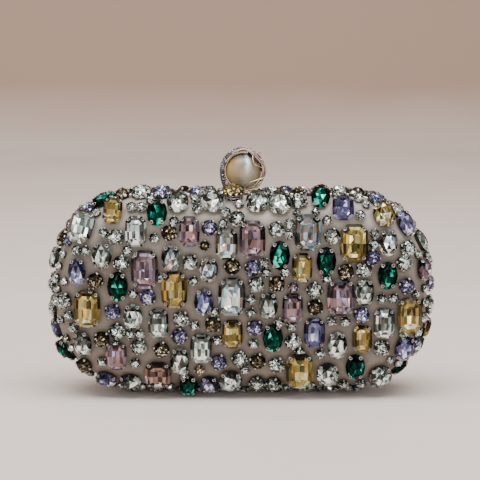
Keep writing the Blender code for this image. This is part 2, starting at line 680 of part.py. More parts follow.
def make_catch(frame):
    # Stirrup under the front strip, whose bar the lever's tooth holds
    bar_end = -ARM_REACH + TOOTH_THICKNESS + CATCH_PLAY
    bar = (bar_end, bar_end + CATCH_BAR_DEPTH)
    tooth_bottom = PIVOT_HEIGHT - HUB_RADIUS
    top = tooth_bottom - SEAT_GAP
    leg_out = CATCH_INSIDE + PLATE_THICKNESS
    middle = sum(bar) / 2
    start, end = middle - FOOT_DEPTH / 2, middle + FOOT_DEPTH / 2
    catch = plate_box("catch", (-leg_out, leg_out), bar, (top - CATCH_BAR_HEIGHT, top))
    for way, word in ((-1, "left"), (1, "right")):
        leg = sorted((way * CATCH_INSIDE, way * leg_out))
        foot = sorted((way * CATCH_INSIDE, way * (CATCH_INSIDE + FOOT_LENGTH)))
        combine(catch, plate_box("leg_" + word, leg, (bar[0] - CATCH_BAR_DEPTH / 2,
                                                      bar[1] + CATCH_BAR_DEPTH / 2),
                                 (top - CATCH_BAR_HEIGHT, PLATE_TOP)), "UNION")
        combine(catch, plate_box("catch_foot_" + word, foot, (start, end),
                                 (PLATE_BOTTOM, PLATE_TOP)), "UNION")
    make_rivets("catch", frame, catch, CATCH_INSIDE, middle)
    finish(catch, SILVER, 0.4, 1)


def make_lever():
    # Rocking lever: hub on the pin, stem up to the knob, arm forward to the hooked tooth
    half = LEVER_WIDTH / 2
    arm_top = PIVOT_HEIGHT + HUB_RADIUS
    lever = rod("clasp_lever", (CLASP_X, PIVOT_DEPTH, PIVOT_HEIGHT), HUB_RADIUS, LEVER_WIDTH, "X")
    arm = plate_box("arm", (-half, half), (-ARM_REACH, PIVOT_DEPTH),
                    (arm_top - ARM_THICKNESS, arm_top))
    tooth = plate_box("tooth", (-half, half), (-ARM_REACH, -ARM_REACH + TOOTH_THICKNESS),
                      (PIVOT_HEIGHT - HUB_RADIUS, arm_top - ARM_THICKNESS / 2))
    stem_bottom = arm_top - ARM_THICKNESS / 2
    stem_top = BASE_BOTTOM - SEAT_GAP
    stem = rod("stem", (CLASP_X, 0, (stem_bottom + stem_top) / 2), STEM_RADIUS,
               stem_top - stem_bottom)
    for shape in (arm, tooth, stem):
        combine(lever, shape, "UNION")
    bore = rod("lever_bore", (CLASP_X, PIVOT_DEPTH, PIVOT_HEIGHT), PIVOT_PIN_RADIUS + SEAT_GAP,
               LEVER_WIDTH + CUT_OVERRUN, "X", 12)
    combine(lever, bore, "DIFFERENCE")
    finish(lever, SILVER, 0.35, 1)


def make_knob_seat():
    base = rod("knob_base", (CLASP_X, 0, BASE_BOTTOM + BASE_THICKNESS / 2), BASE_RADIUS,
               BASE_THICKNESS, sides=24)
    finish(base, GILT, 0.3, 1)
    collar = rod("knob_collar", (CLASP_X, 0, COLLAR_BOTTOM + COLLAR_HEIGHT / 2), COLLAR_RADIUS,
                 COLLAR_HEIGHT)
    finish(collar, GILT, 0.3, 1)


def make_pearl():
    shape = bmesh.new()
    bmesh.ops.create_uvsphere(shape, u_segments=20, v_segments=12, radius=PEARL_RADIUS,
                              matrix=Matrix.Translation((CLASP_X, 0, PEARL_HEIGHT)))
    pearl = add_mesh("pearl", shape)
    pearl.data.shade_smooth()
    finish(pearl, (0.68, 0.58, 0.45), 0.2, 0.1)


def make_hoop(name, depth):
    bpy.ops.mesh.primitive_torus_add(
        major_segments=24, minor_segments=5, major_radius=HOOP_RADIUS, minor_radius=HOOP_WIRE,
        location=(CLASP_X, depth, PEARL_HEIGHT), rotation=(math.pi / 2, 0, 0))
    hoop = bpy.context.object
    hoop.name = name
    for collection in list(hoop.users_collection):
        collection.objects.unlink(hoop)
    CLUTCH.objects.link(hoop)
    return hoop


def make_cross_wire(name, start, end):
    # A wire that crosses from the front hoop to the rear one, on a ball round the pearl
    steps = 6
    curve = bpy.data.curves.new(name, "CURVE")
    curve.dimensions = "3D"
    curve.bevel_depth = CROSS_WIRE
    curve.bevel_resolution = 1
    curve.use_fill_caps = True
    spline = curve.splines.new("POLY")
    spline.points.add(steps)
    for index, point in enumerate(spline.points):
        share = index / steps
        angle = math.radians(start + (end - start) * share)
        depth = HOOP_OFFSET * (2 * share - 1)
        radius = math.sqrt(CAGE_RADIUS ** 2 - depth ** 2)
        point.co = (CLASP_X + radius * math.cos(angle), depth,
                    PEARL_HEIGHT + radius * math.sin(angle), 1)
    wire = bpy.data.objects.new(name, curve)
    CLUTCH.objects.link(wire)
    return curve_to_mesh(wire)


def make_cage():
    cage = make_hoop("wire_cage", -HOOP_OFFSET)
    for index, (start, end) in enumerate(CROSS_WIRE_ANGLES):
        combine(cage, make_cross_wire(f"cross_wire_{index}", start, end), "UNION")
    combine(cage, make_hoop("rear_hoop", HOOP_OFFSET), "UNION")
    finish(cage, GILT, 0.25, 1)


def make_crystal_band():
    # A curved band over the upper left of the cage: an open strip that is thickened inwards
    steps = 12
    shape = bmesh.new()
    pairs = []
    for index in range(steps + 1):
        angle = BAND_START + (BAND_END - BAND_START) * index / steps
        x = CLASP_X + BAND_RADIUS * math.cos(angle)
        z = PEARL_HEIGHT + BAND_RADIUS * math.sin(angle)
        pairs.append([shape.verts.new((x, way * BAND_WIDTH / 2, z)) for way in (-1, 1)])
    for (front, rear), (next_front, next_rear) in zip(pairs, pairs[1:]):
        shape.faces.new((front, rear, next_rear, next_front))
    band = add_mesh("crystal_band", shape)
    thicken(band, BAND_THICKNESS)
    finish(band, (0.7, 0.7, 0.72), 0.15, 0.3)


def build():
    make_layers("front", FRONT)
    make_layers("rear", REAR)
    front_frame = make_frame("front", FRONT)
    rear_frame = make_frame("rear", REAR)
    make_arm_slot(front_frame)
    make_hinge_pin()
    make_bracket(rear_frame)
    make_spring()
    make_catch(front_frame)
    make_lever()
    make_knob_seat()
    make_pearl()
    make_cage()
    make_crystal_band()
    loose_stones("front", FRONT)
    loose_stones("rear", REAR)
    shoulder_stone()


build()
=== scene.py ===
import json
import math
import random

import bmesh
import bpy
import numpy as np
from mathutils import Matrix, Vector

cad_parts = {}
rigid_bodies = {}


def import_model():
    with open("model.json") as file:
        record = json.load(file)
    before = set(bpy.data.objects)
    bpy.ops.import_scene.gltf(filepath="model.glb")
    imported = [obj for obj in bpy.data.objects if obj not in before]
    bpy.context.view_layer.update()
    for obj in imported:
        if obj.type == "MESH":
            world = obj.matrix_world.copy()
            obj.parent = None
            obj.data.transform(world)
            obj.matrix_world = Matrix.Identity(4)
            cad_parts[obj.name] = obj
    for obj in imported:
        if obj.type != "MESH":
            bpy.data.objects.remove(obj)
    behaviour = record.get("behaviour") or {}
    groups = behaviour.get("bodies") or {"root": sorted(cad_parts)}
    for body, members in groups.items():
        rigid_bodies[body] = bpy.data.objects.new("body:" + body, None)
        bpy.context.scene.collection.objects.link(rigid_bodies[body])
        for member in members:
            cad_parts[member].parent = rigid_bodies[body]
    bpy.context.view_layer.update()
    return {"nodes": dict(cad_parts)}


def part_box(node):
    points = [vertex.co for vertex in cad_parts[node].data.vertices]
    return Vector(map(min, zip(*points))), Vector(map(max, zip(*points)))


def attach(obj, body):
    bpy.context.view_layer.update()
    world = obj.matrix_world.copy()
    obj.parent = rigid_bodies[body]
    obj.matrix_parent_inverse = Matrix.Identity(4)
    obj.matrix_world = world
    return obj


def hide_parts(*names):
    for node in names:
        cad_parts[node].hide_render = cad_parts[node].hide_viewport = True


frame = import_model()
front, rear = -1, 1
wordOf = {front: "front", rear: "rear"}

# The skin is the surface that the satin follows; its reach comes from the shell under it
skin = {"shellOffset": 0.0021, "sideStraight": 0.011, "edgeRadius": 0.014, "wallDepth": 0.005,
        "crown": 0.003}
edgeRadius, wallDepth, crown = skin["edgeRadius"], skin["wallDepth"], skin["crown"]
shellLow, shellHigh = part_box("front_shell")
leverLow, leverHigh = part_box("clasp_lever")
leverX = (leverLow.x + leverHigh.x) / 2
halfLength = (shellHigh.x - shellLow.x) / 2 + skin["shellOffset"]
halfHeight = (shellHigh.z - shellLow.z) / 2 + skin["shellOffset"]
centreHeight = (shellHigh.z + shellLow.z) / 2
cornerRadius = halfHeight - skin["sideStraight"] / 2
longStraight, shortStraight = halfLength - cornerRadius, halfHeight - cornerRadius
wayRound = 4 * (longStraight + shortStraight) + 2 * math.pi * cornerRadius


def newCollection(name):
    collection = bpy.data.collections.new(name)
    bpy.context.scene.collection.children.link(collection)
    return collection


pieceShelf, patternShelf = newCollection("dressed pieces"), newCollection("patterns")


def addObject(name, data, shelf=pieceShelf):
    thing = bpy.data.objects.new(name, data)
    shelf.objects.link(thing)
    return thing


def meshPiece(name, shape, shelf=pieceShelf, closed=True):
    if closed:
        bmesh.ops.recalc_face_normals(shape, faces=shape.faces)
    mesh = bpy.data.meshes.new(name)
    shape.to_mesh(mesh)
    shape.free()
    return addObject(name, mesh, shelf)


def plainMesh(thing, name):
    # Bakes an object's modifiers or curve into a mesh at the origin and drops the old one
    bpy.context.view_layer.update()
    graph = bpy.context.evaluated_depsgraph_get()
    mesh = bpy.data.meshes.new_from_object(thing.evaluated_get(graph), depsgraph=graph)
    mesh.transform(thing.matrix_world)
    finishes = [finish for finish in mesh.materials if finish]
    mesh.materials.clear()
    for finish in finishes:
        mesh.materials.append(finish)
    mesh.polygons.foreach_set("material_index", [0] * len(mesh.polygons))
    bpy.data.objects.remove(thing)
    mesh.name = name
    return addObject(name, mesh)


def smooth(thing, degrees):
    thing.data.shade_smooth()
    thing.data.set_sharp_from_angle(angle=math.radians(degrees))
    return thing


def dressed(piece, body, slot, *replaced, finish=None):
    # Gives a finished piece its material, its body and the nodes it stands for; slot is not used
    if finish:
        piece.data.materials.clear()
        piece.data.materials.append(finish)
    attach(piece, body)
    if replaced:
        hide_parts(*replaced)


def loft(shape, rings, closed=False, caps=False):
    # Faces between neighbouring rings; closed joins the last ring to the first one
    for ring, after in zip(rings, rings[1:] + rings[:1] if closed else rings[1:]):
        for index in range(len(ring)):
            beside = (index + 1) % len(ring)
            shape.faces.new((ring[index], ring[beside], after[beside], after[index]))
    if caps:
        shape.faces.new(rings[-1])
        shape.faces.new(reversed(rings[0]))


# Nodes: an input is named or numbered, and takes a value or another node's output

def setInputs(tree, node, inputs):
    for key, value in inputs.items():
        if isinstance(value, bpy.types.NodeSocket):
            tree.links.new(value, node.inputs[key])
        elif value is not None:
            node.inputs[key].default_value = value


def addNode(tree, kind, inputs=None, **settings):
    node = tree.nodes.new(kind)
    for key, value in settings.items():
        setattr(node, key, value)
    setInputs(tree, node, inputs or {})
    return node


def mathNode(tree, operation, *values):
    return addNode(tree, "ShaderNodeMath", dict(enumerate(values)), operation=operation).outputs[0]


def vectorNode(tree, operation, *values, scale=None):
    inputs = {**dict(enumerate(values)), "Scale": scale}
    return addNode(tree, "ShaderNodeVectorMath", inputs, operation=operation).outputs[0]


def mixNode(tree, factor, first, second, blend="MULTIPLY"):
    return addNode(tree, "ShaderNodeMix", {0: factor, 6: first, 7: second},
                   data_type="RGBA", blend_type=blend).outputs[2]


def ramp(tree, factor, stops, interpolation="LINEAR"):
    node = addNode(tree, "ShaderNodeValToRGB", {0: factor})
    node.color_ramp.interpolation = interpolation
    elements = node.color_ramp.elements
    while len(elements) < len(stops):
        elements.new(0.5)
    for element, (place, colour) in zip(elements, stops):
        element.position = place
        element.color = (*colour, 1)
    return node.outputs[0]


def noise(tree, coords, scale, detail=2, roughness=0.5):
    return addNode(tree, "ShaderNodeTexNoise", {"Vector": coords, "Scale": scale, "Detail": detail,
                                                "Roughness": roughness}).outputs["Fac"]


def bump(tree, shader, height, distance, strength):
    relief = addNode(tree, "ShaderNodeBump", {"Height": height, "Distance": distance,
                                              "Strength": strength})
    setInputs(tree, shader, {"Normal": relief.outputs[0]})


def objectCoords(tree, stretch=None):
    coords = addNode(tree, "ShaderNodeTexCoord").outputs["Object"]
    if stretch is None:
        return coords
    return addNode(tree, "ShaderNodeMapping", {"Vector": coords, "Scale": stretch}).outputs[0]


def attribute(tree, name):
    return addNode(tree, "ShaderNodeAttribute", attribute_name=name).outputs["Fac"]


def newMaterial(name, inputs):
    material = bpy.data.materials.new(name)
    material.use_nodes = True
    shader = material.node_tree.nodes["Principled BSDF"]
    setInputs(material.node_tree, shader, inputs)
    return material, material.node_tree, shader


# Each tone's facets, from the darkest to the lightest
toneColours = {
    "clear": ((0.005, 0.006, 0.005), (0.028, 0.033, 0.027), (0.085, 0.1, 0.08),
              (0.2, 0.23, 0.2), (0.4, 0.5, 0.48), (0.8, 0.93, 0.91), (1, 1, 1)),
    "frost": ((0.006, 0.007, 0.006), (0.04, 0.045, 0.04), (0.15, 0.1, 0.08), (0.15, 0.2, 0.195),
              (0.24, 0.27, 0.42), (0.46, 0.72, 0.67), (1, 1, 1)),
    "blush": ((0.01, 0.006, 0.005), (0.05, 0.028, 0.022), (0.12, 0.065, 0.046),
              (0.22, 0.12, 0.088), (0.3, 0.2, 0.165), (0.42, 0.36, 0.4), (1, 0.95, 0.9)),
    "gold": ((0.014, 0.009, 0.001), (0.062, 0.043, 0.009), (0.165, 0.118, 0.028),
             (0.32, 0.242, 0.07), (0.5, 0.41, 0.15), (0.72, 0.72, 0.48), (1, 0.98, 0.85)),
    "olive": ((0.006, 0.004, 0.001), (0.03, 0.02, 0.004), (0.085, 0.06, 0.014),
              (0.18, 0.13, 0.03), (0.34, 0.25, 0.06), (0.6, 0.46, 0.14), (1, 0.85, 0.42)),
    "pink": ((0.01, 0.007, 0.009), (0.045, 0.031, 0.037), (0.115, 0.08, 0.095),
             (0.21, 0.158, 0.182), (0.36, 0.24, 0.25), (0.5, 0.45, 0.64), (1, 0.95, 0.97)),
    "lilac": ((0.01, 0.009, 0.022), (0.032, 0.028, 0.068), (0.075, 0.067, 0.15),
              (0.14, 0.13, 0.26), (0.235, 0.235, 0.43), (0.46, 0.52, 0.8), (0.96, 0.98, 1)),
    "green": ((0, 0.002, 0.001), (0, 0.006, 0.004), (0, 0.013, 0.008), (0, 0.026, 0.016),
              (0, 0.065, 0.042), (0, 0.36, 0.25), (0.08, 0.8, 0.62)),
    "smoke": ((0.006, 0.004, 0.006), (0.022, 0.016, 0.024), (0.05, 0.036, 0.052),
              (0.095, 0.072, 0.1), (0.18, 0.15, 0.2), (0.5, 0.42, 0.55), (1, 1, 1)),
    "brown": ((0.004, 0.003, 0.001), (0.016, 0.012, 0.005), (0.042, 0.032, 0.014),
              (0.085, 0.065, 0.031), (0.16, 0.125, 0.066), (0.4, 0.34, 0.22), (1, 0.95, 0.82)),
}
gemLook = {"stops": (0.04, 0.21, 0.37, 0.51, 0.62, 0.72, 0.82),
           "deepStops": (0.02, 0.17, 0.35, 0.57, 0.79, 0.93, 1.04),
           "pale": ("clear", "frost", "blush"), "depth": 0.3, "shardSize": 0.0032,
           "shardLength": 0.34, "fleckLength": 0.85, "shardShare": 0.5, "facetTilt": 0.6,
           "shardTilt": 0.24, "fleckScale": 4.6, "fleckShare": 0.55, "fleckDrop": 0.05,
           "tintScatter": 971.0}
gemShine = {"Metallic": 0.6, "Roughness": 0.06, "Coat Weight": 0.35, "Coat Roughness": 0.03,
            "IOR": 1.4}
# Tones with a shine of their own
shineOf = {"green": {"Coat Weight": 0.02, "IOR": 1.15}, "gold": {"Coat Weight": 0.15, "IOR": 1.25},
           "pink": {"Coat Weight": 0.12, "IOR": 1.25}, "lilac": {"Coat Weight": 0.15, "IOR": 1.25},
           "brown": {"Coat Weight": 0.04, "IOR": 1.15}, "blush": {"Coat Weight": 0.1, "IOR": 1.25},
           "olive": {"Coat Weight": 0.1, "Metallic": 0.4, "Roughness": 0.25},
           "smoke": {"Coat Weight": 0, "Metallic": 0.1, "Roughness": 0.3, "IOR": 1.3}}
# Facets that break the light into other colours: from which share of the facets on, and the tint
tintsOf = {
    "clear": ((0.66, (0.86, 1, 0.97)), (0.84, (1, 0.93, 0.82)), (0.93, (0.8, 0.88, 1))),
    "frost": ((0.35, (0.8, 1, 0.96)), (0.6, (1, 0.74, 0.6)), (0.74, (0.74, 0.8, 1)),
              (0.93, (1, 0.96, 0.6))),
    "pink": ((0.45, (1, 0.79, 0.7)), (0.66, (0.78, 0.84, 1)), (0.9, (1, 0.92, 0.86))),
    "gold": ((0.6, (1, 0.8, 0.55)), (0.82, (0.78, 1, 0.98)), (0.93, (0.9, 0.9, 1))),
    "lilac": ((0.62, (0.82, 1, 1)), (0.82, (1, 0.86, 0.94))),
    "blush": ((0.55, (1, 0.84, 0.72)), (0.8, (0.85, 0.9, 1))),
}
# How much darker than their ramp some tones lie
toneDrop = {"clear": 0.02, "frost": 0.07, "blush": 0.15, "gold": 0.07, "pink": 0.08,
            "lilac": 0.1, "green": 0.05, "brown": 0.15, "olive": 0.06}


def gemMaterial(tone):
    # A foiled stone: shards of tone lie under a clear polished face
    look = gemLook
    material, tree, shader = newMaterial(tone + "Crystal", {**gemShine, **shineOf.get(tone, {})})
    # The facet level holds each facet's random tone and its painted light
    facet, fine = attribute(tree, "facet"), attribute(tree, "fine")
    apart = addNode(tree, "ShaderNodeCombineXYZ", {0: facet, 1: facet, 2: facet}).outputs[0]
    longer = mathNode(tree, "MULTIPLY_ADD", fine, look["fleckLength"] - look["shardLength"],
                      look["shardLength"])
    stretch = addNode(tree, "ShaderNodeCombineXYZ", {0: 1, 1: 1, 2: longer}).outputs[0]
    coords = vectorNode(tree, "MULTIPLY", objectCoords(tree), stretch)
    coarse = 1 / look["shardSize"]
    shard = addNode(tree, "ShaderNodeTexVoronoi", {
        "Vector": vectorNode(tree, "ADD", coords, apart),
        "Scale": mathNode(tree, "MULTIPLY_ADD", fine, coarse * look["fleckScale"], coarse)})
    chance = addNode(tree, "ShaderNodeSeparateColor", {0: shard.outputs["Color"]}).outputs[0]
    share = mathNode(tree, "MULTIPLY_ADD", fine, look["fleckShare"], look["shardShare"])
    shift = mathNode(tree, "MULTIPLY", mathNode(tree, "SUBTRACT", chance, 0.5), share)
    level = mathNode(tree, "MULTIPLY_ADD", fine, -look["fleckDrop"],
                     mathNode(tree, "ADD", facet, shift))
    level = mathNode(tree, "ADD", level, mathNode(
        tree, "MULTIPLY_ADD", shard.outputs["Distance"], -look["depth"],
        look["depth"] / 2 - toneDrop.get(tone, 0)))
    stops = look["stops" if tone in look["pale"] else "deepStops"]
    colour = ramp(tree, level, list(zip(stops, toneColours[tone])))
    scatter = addNode(tree, "ShaderNodeTexWhiteNoise", {
        "W": mathNode(tree, "MULTIPLY", facet, look["tintScatter"])}, noise_dimensions="1D")
    if tone in tintsOf:
        tints = ((0, (1, 1, 1)), *tintsOf[tone])
        colour = mixNode(tree, 1, colour, ramp(tree, scatter.outputs["Value"], tints, "CONSTANT"))
    turns = [vectorNode(tree, "SCALE", vectorNode(tree, "SUBTRACT", source.outputs["Color"],
                                                  (0.5, 0.5, 0.5)), scale=look[word])
             for source, word in ((scatter, "facetTilt"), (shard, "shardTilt"))]
    normal = addNode(tree, "ShaderNodeNewGeometry").outputs["Normal"]
    normal = vectorNode(tree, "ADD", normal, vectorNode(tree, "ADD", *turns))
    setInputs(tree, shader, {"Base Color": colour,
                             "Normal": vectorNode(tree, "NORMALIZE", normal)})
    return material


metalLook = {"cloudDetail": 4, "cloudRoughness": 0.6, "dullAt": 0.25, "brightAt": 0.7,
             "wearCloud": 0.45, "wearShare": 0.75, "wearStart": -0.15, "grainScale": 3,
             "pitScale": 6, "pitDepth": 0.00003, "pitStrength": 0.6}
metals = {
    "oldSilver": {"bright": (0.64, 0.62, 0.58), "dull": (0.54, 0.52, 0.485), "roughness": 0.24,
                  "grain": 0.12, "scale": 320.0},
    "darkSilver": {"bright": (0.11, 0.085, 0.1), "dull": (0.03, 0.023, 0.03), "roughness": 0.34,
                   "grain": 0.2, "scale": 500.0},
    "clawSilver": {"bright": (0.4, 0.39, 0.36), "dull": (0.085, 0.08, 0.072), "roughness": 0.22,
                   "grain": 0.14, "scale": 700.0, "wear": "worn"},
    "paleGilt": {"bright": (0.96, 0.84, 0.6), "dull": (0.5, 0.39, 0.22), "roughness": 0.12,
                 "grain": 0.14, "scale": 500.0},
    "roseSilver": {"bright": (0.66, 0.54, 0.5), "dull": (0.3, 0.22, 0.2), "roughness": 0.24,
                   "grain": 0.14, "scale": 900.0},
}


def metalMaterial(name, bright, dull, roughness, grain, scale, wear=None):
    # Plated metal with a cloudy tarnish; wear names an attribute that is low in hollows
    look = metalLook
    material, tree, shader = newMaterial(name, {"Metallic": 1, "Coat Weight": 0.15,
                                                "Coat Roughness": 0.15})
    coords = objectCoords(tree)
    cloud = noise(tree, coords, scale, look["cloudDetail"], look["cloudRoughness"])
    if wear:
        worn = mathNode(tree, "MULTIPLY_ADD", attribute(tree, wear), look["wearShare"],
                        look["wearStart"])
        cloud = mathNode(tree, "MULTIPLY_ADD", cloud, look["wearCloud"], worn)
    colour = ramp(tree, cloud, ((look["dullAt"], dull), (look["brightAt"], bright)))
    rough = mathNode(tree, "MULTIPLY_ADD", noise(tree, coords, scale * look["grainScale"]),
                     grain, roughness)
    setInputs(tree, shader, {"Base Color": colour, "Roughness": rough})
    bump(tree, shader, noise(tree, coords, scale * look["pitScale"]), look["pitDepth"],
         look["pitStrength"])
    return material


satinLook = {"clouds": (45.0, 3, 0.55), "perMetre": 10.0,
             "stops": ((0.3, (0.62, 0.58, 0.525)), (0.7, (0.76, 0.715, 0.655))),
             # Painted light: the satin is painted lighter where the top edge turns upwards, as if
             # lit from above; the stops are heights, ten to the metre
             "rise": ((0.2, (0.41, 0.37, 0.335)), (0.66, (0.51, 0.475, 0.445)), (0.88, (1, 1, 1))),
             # The colour and share of the painted shade round the settings
             "paintedShadeShare": 0.9, "paintedShade": (0.3, 0.26, 0.23, 1), "along": 260.0, "across": 5200.0,
             "creaseScale": 240.0, "creaseDetail": 3, "creases": 3.0, "relief": (0.00012, 0.5),
             "weaveRoughness": 0.12, "roughness": 0.36}


def satinMaterial():
    look = satinLook
    material, tree, shader = newMaterial("taupeSatin", {
        "Sheen Weight": 0.35, "Sheen Roughness": 0.35, "Sheen Tint": (0.95, 0.9, 0.84, 1),
        "IOR": 1.6})
    coords = objectCoords(tree)
    height = addNode(tree, "ShaderNodeSeparateXYZ", {0: coords}).outputs[2]
    # The rise ramp is painted light: it makes the satin lighter towards the top edge
    rise = mathNode(tree, "MULTIPLY", height, look["perMetre"])
    tone = mixNode(tree, 1, ramp(tree, noise(tree, coords, *look["clouds"]), look["stops"]),
                   ramp(tree, rise, look["rise"]))
    # Painted shade: the satin is darkened round the settings, where the stones shade it
    paintedShade = mathNode(tree, "MULTIPLY", attribute(tree, "paintedShade"), look["paintedShadeShare"])
    along, across = look["along"], look["across"]
    weave = mathNode(tree, "ADD", *(noise(tree, objectCoords(tree, stretch), 1.0) for stretch in (
        (along, across, across), (across, along, along))))
    rough = mathNode(tree, "MULTIPLY_ADD", weave, look["weaveRoughness"], look["roughness"])
    setInputs(tree, shader, {"Base Color": mixNode(tree, paintedShade, tone, look["paintedShade"]),
                             "Roughness": rough})
    creases = noise(tree, coords, look["creaseScale"], look["creaseDetail"])
    bump(tree, shader, mathNode(tree, "MULTIPLY_ADD", creases, look["creases"], weave),
         *look["relief"])
    return material


# Plainer surfaces: the clouds' scale and detail, their colours, and the relief if there is one
plainStops, reliefDetail = (0.3, 0.7), 3
plainLooks = {
    "liningCloth": {"shader": {"Sheen Weight": 0.25, "Sheen Roughness": 0.4, "Roughness": 0.5},
                    "clouds": (60.0, 3), "colours": ((0.36, 0.3, 0.26), (0.5, 0.43, 0.38)),
                    "relief": (120.0, 0.00015, 0.5), "ribs": (300.0, 4000.0, 4000.0),
                    "folds": 2.0},
    "mouldedBoard": {"shader": {"Roughness": 0.7}, "clouds": (900.0, 3),
                     "colours": ((0.03, 0.028, 0.026), (0.075, 0.07, 0.066)),
                     "relief": (2500.0, 0.0001, 0.6)},
    "roseGlass": {"shader": {"Roughness": 0.15, "Metallic": 0.3, "Coat Weight": 0.8},
                  "clouds": (900.0, 2), "colours": ((0.3, 0.13, 0.15), (0.75, 0.5, 0.52))},
}


def plainMaterial(name, look):
    material, tree, shader = newMaterial(name, look["shader"])
    coords = objectCoords(tree)
    clouds = noise(tree, coords, *look["clouds"])
    colour = ramp(tree, clouds, list(zip(plainStops, look["colours"])))
    setInputs(tree, shader, {"Base Color": colour})
    if "relief" in look:
        scale, distance, strength = look["relief"]
        relief = noise(tree, coords, scale, reliefDetail)
        if "ribs" in look:
            ribs = noise(tree, objectCoords(tree, look["ribs"]), 1.0)
            relief = mathNode(tree, "MULTIPLY_ADD", relief, look["folds"], ribs)
        bump(tree, shader, relief, distance, strength)
    return material


# The pearl is gold towards one side, with a painted cool highlight right of the middle and brown
# beyond it; the highlight is painted in its upper half
pearlLook = {"drift": (2.4, 3, 0.6), "driftShare": 0.3, "paintedHighlightFrom": 0.3, "paintedHighlightTo": 0.62,
             "toneAndPaintedHighlight": ((0.04, (0.62, 0.41, 0.17)), (0.17, (0.46, 0.31, 0.13)),
                       (0.32, (0.3, 0.25, 0.16)), (0.48, (0.21, 0.22, 0.19)), (0.56, (0.8, 1, 1)),
                       (0.62, (0.42, 0.54, 0.54)), (0.71, (0.26, 0.18, 0.11)),
                       (0.97, (0.36, 0.23, 0.14))),
             "below": ((0.05, (0.56, 0.38, 0.18)), (0.35, (0.36, 0.29, 0.18)),
                       (0.6, (0.46, 0.44, 0.36)), (0.95, (0.34, 0.24, 0.14)))}


def pearlMaterial():
    look = pearlLook
    material, tree, shader = newMaterial("champagnePearl", {
        "Roughness": 0.42, "Metallic": 0.2, "Coat Weight": 0.14, "Coat Roughness": 0.2})
    low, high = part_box("pearl")
    reach = high.x - low.x
    coords = addNode(tree, "ShaderNodeMapping", {
        "Vector": objectCoords(tree), "Scale": (1 / reach,) * 3,
        "Location": tuple(0.5 - c / reach for c in (low + high) / 2)}).outputs[0]
    split = addNode(tree, "ShaderNodeSeparateXYZ", {0: coords})
    drift = mathNode(tree, "MULTIPLY_ADD", noise(tree, coords, *look["drift"]),
                     look["driftShare"], -look["driftShare"] / 2)
    across, height = (mathNode(tree, "ADD", split.outputs[axis], drift) for axis in (0, 2))
    # Above the middle, the ramp with the painted highlight takes over
    above = addNode(tree, "ShaderNodeMapRange", {0: height, 1: look["paintedHighlightFrom"],
                                                 2: look["paintedHighlightTo"], 3: 0, 4: 1})
    setInputs(tree, shader, {"Base Color": mixNode(
        tree, above.outputs[0], ramp(tree, across, look["below"]),
        ramp(tree, across, look["toneAndPaintedHighlight"]), "MIX")})
    return material


silver, darkSilver, claws, gilt, roseSilver = (metalMaterial(name, **look)
                                               for name, look in metals.items())
lining, board, roseGlass = (plainMaterial(name, look) for name, look in plainLooks.items())
gems = {tone: gemMaterial(tone) for tone in toneColours}
satin, pearlFinish = satinMaterial(), pearlMaterial()
print("materials made")


# Where things sit on the skin

def edgeDistance(x, z):
    over, up = abs(x) - longStraight, abs(z) - shortStraight
    return cornerRadius - math.hypot(max(over, 0), max(up, 0)) - min(max(over, up), 0)


def crownAt(x, z):
    return crown * (1 - (x / halfLength) ** 2) * (1 - (z / halfHeight) ** 2)


def skinDepth(x, z):
    inset = min(max(edgeDistance(x, z), 0), edgeRadius)
    return wallDepth + math.sin(math.acos(1 - inset / edgeRadius)) * (edgeRadius + crownAt(x, z))


def upright(up, out):
    return (up - out * up.dot(out)).normalized()


def standing(place, up, out):
    matrix = Matrix((up.cross(out), up, out)).transposed().to_4x4()
    matrix.translation = place
    return matrix


def seatMatrix(place, up, out, side):
    # The rear half carries the front's layout turned half way round
    turn = Matrix.Rotation(math.pi if side == rear else 0, 4, "Z")
    return Matrix.Translation((0, 0, centreHeight)) @ turn @ standing(place, up, out)


faceOn = 0.9   # how far a stone on the rolled edge turns back to face forwards
slopeStep = edgeRadius / 70   # how far to each side the skin's slope is taken


def faceSeat(uShare, vShare, lean, side, reach):
    x, z = uShare * halfLength, vShare * halfHeight
    step = slopeStep
    slopeX = (skinDepth(x + step, z) - skinDepth(x - step, z)) / (2 * step)
    slopeZ = (skinDepth(x, z + step) - skinDepth(x, z - step)) / (2 * step)
    surface = Vector((-slopeX, -1, -slopeZ)).normalized()
    out = (surface + Vector((0, -faceOn, 0))).normalized()
    lift = surface * math.sin(surface.angle(out)) * reach
    up = Matrix.Rotation(math.radians(lean), 3, out) @ upright(Vector((0, 0, 1)), out)
    return seatMatrix(Vector((x, -skinDepth(x, z), z)) + lift, up, out, side)


def outlinePlace(share):
    # The outline clockwise from the middle of the top, with the direction out of it
    travel, x, z, angle = share % 1 * wayRound, 0, shortStraight, math.pi / 2
    for straight in (longStraight, 2 * shortStraight, 2 * longStraight, 2 * shortStraight,
                     longStraight):
        run = min(travel, straight)
        x, z = x + math.sin(angle) * run, z - math.cos(angle) * run
        turn = min((travel - run) / cornerRadius, math.pi / 2)
        angle -= turn
        travel -= run + turn * cornerRadius
    outX, outZ = math.cos(angle), math.sin(angle)
    return (x + cornerRadius * outX, z + cornerRadius * outZ), (outX, outZ)


def rimSeat(share, arc, roll, side, turn=0.0):
    (x, z), (outX, outZ) = outlinePlace(share)
    around = max(arc - wallDepth, 0) / edgeRadius
    inset = edgeRadius * (1 - math.cos(around))
    depth = min(arc, wallDepth) + edgeRadius * math.sin(around)
    out = Vector((outX * math.cos(roll), -math.sin(roll), outZ * math.cos(roll)))
    up = Vector((outX * math.sin(roll), math.cos(roll), outZ * math.sin(roll)))
    up = Matrix.Rotation(math.radians(turn), 3, out) @ up
    return seatMatrix(Vector((x - inset * outX, -depth, z - inset * outZ)), up, out, side)


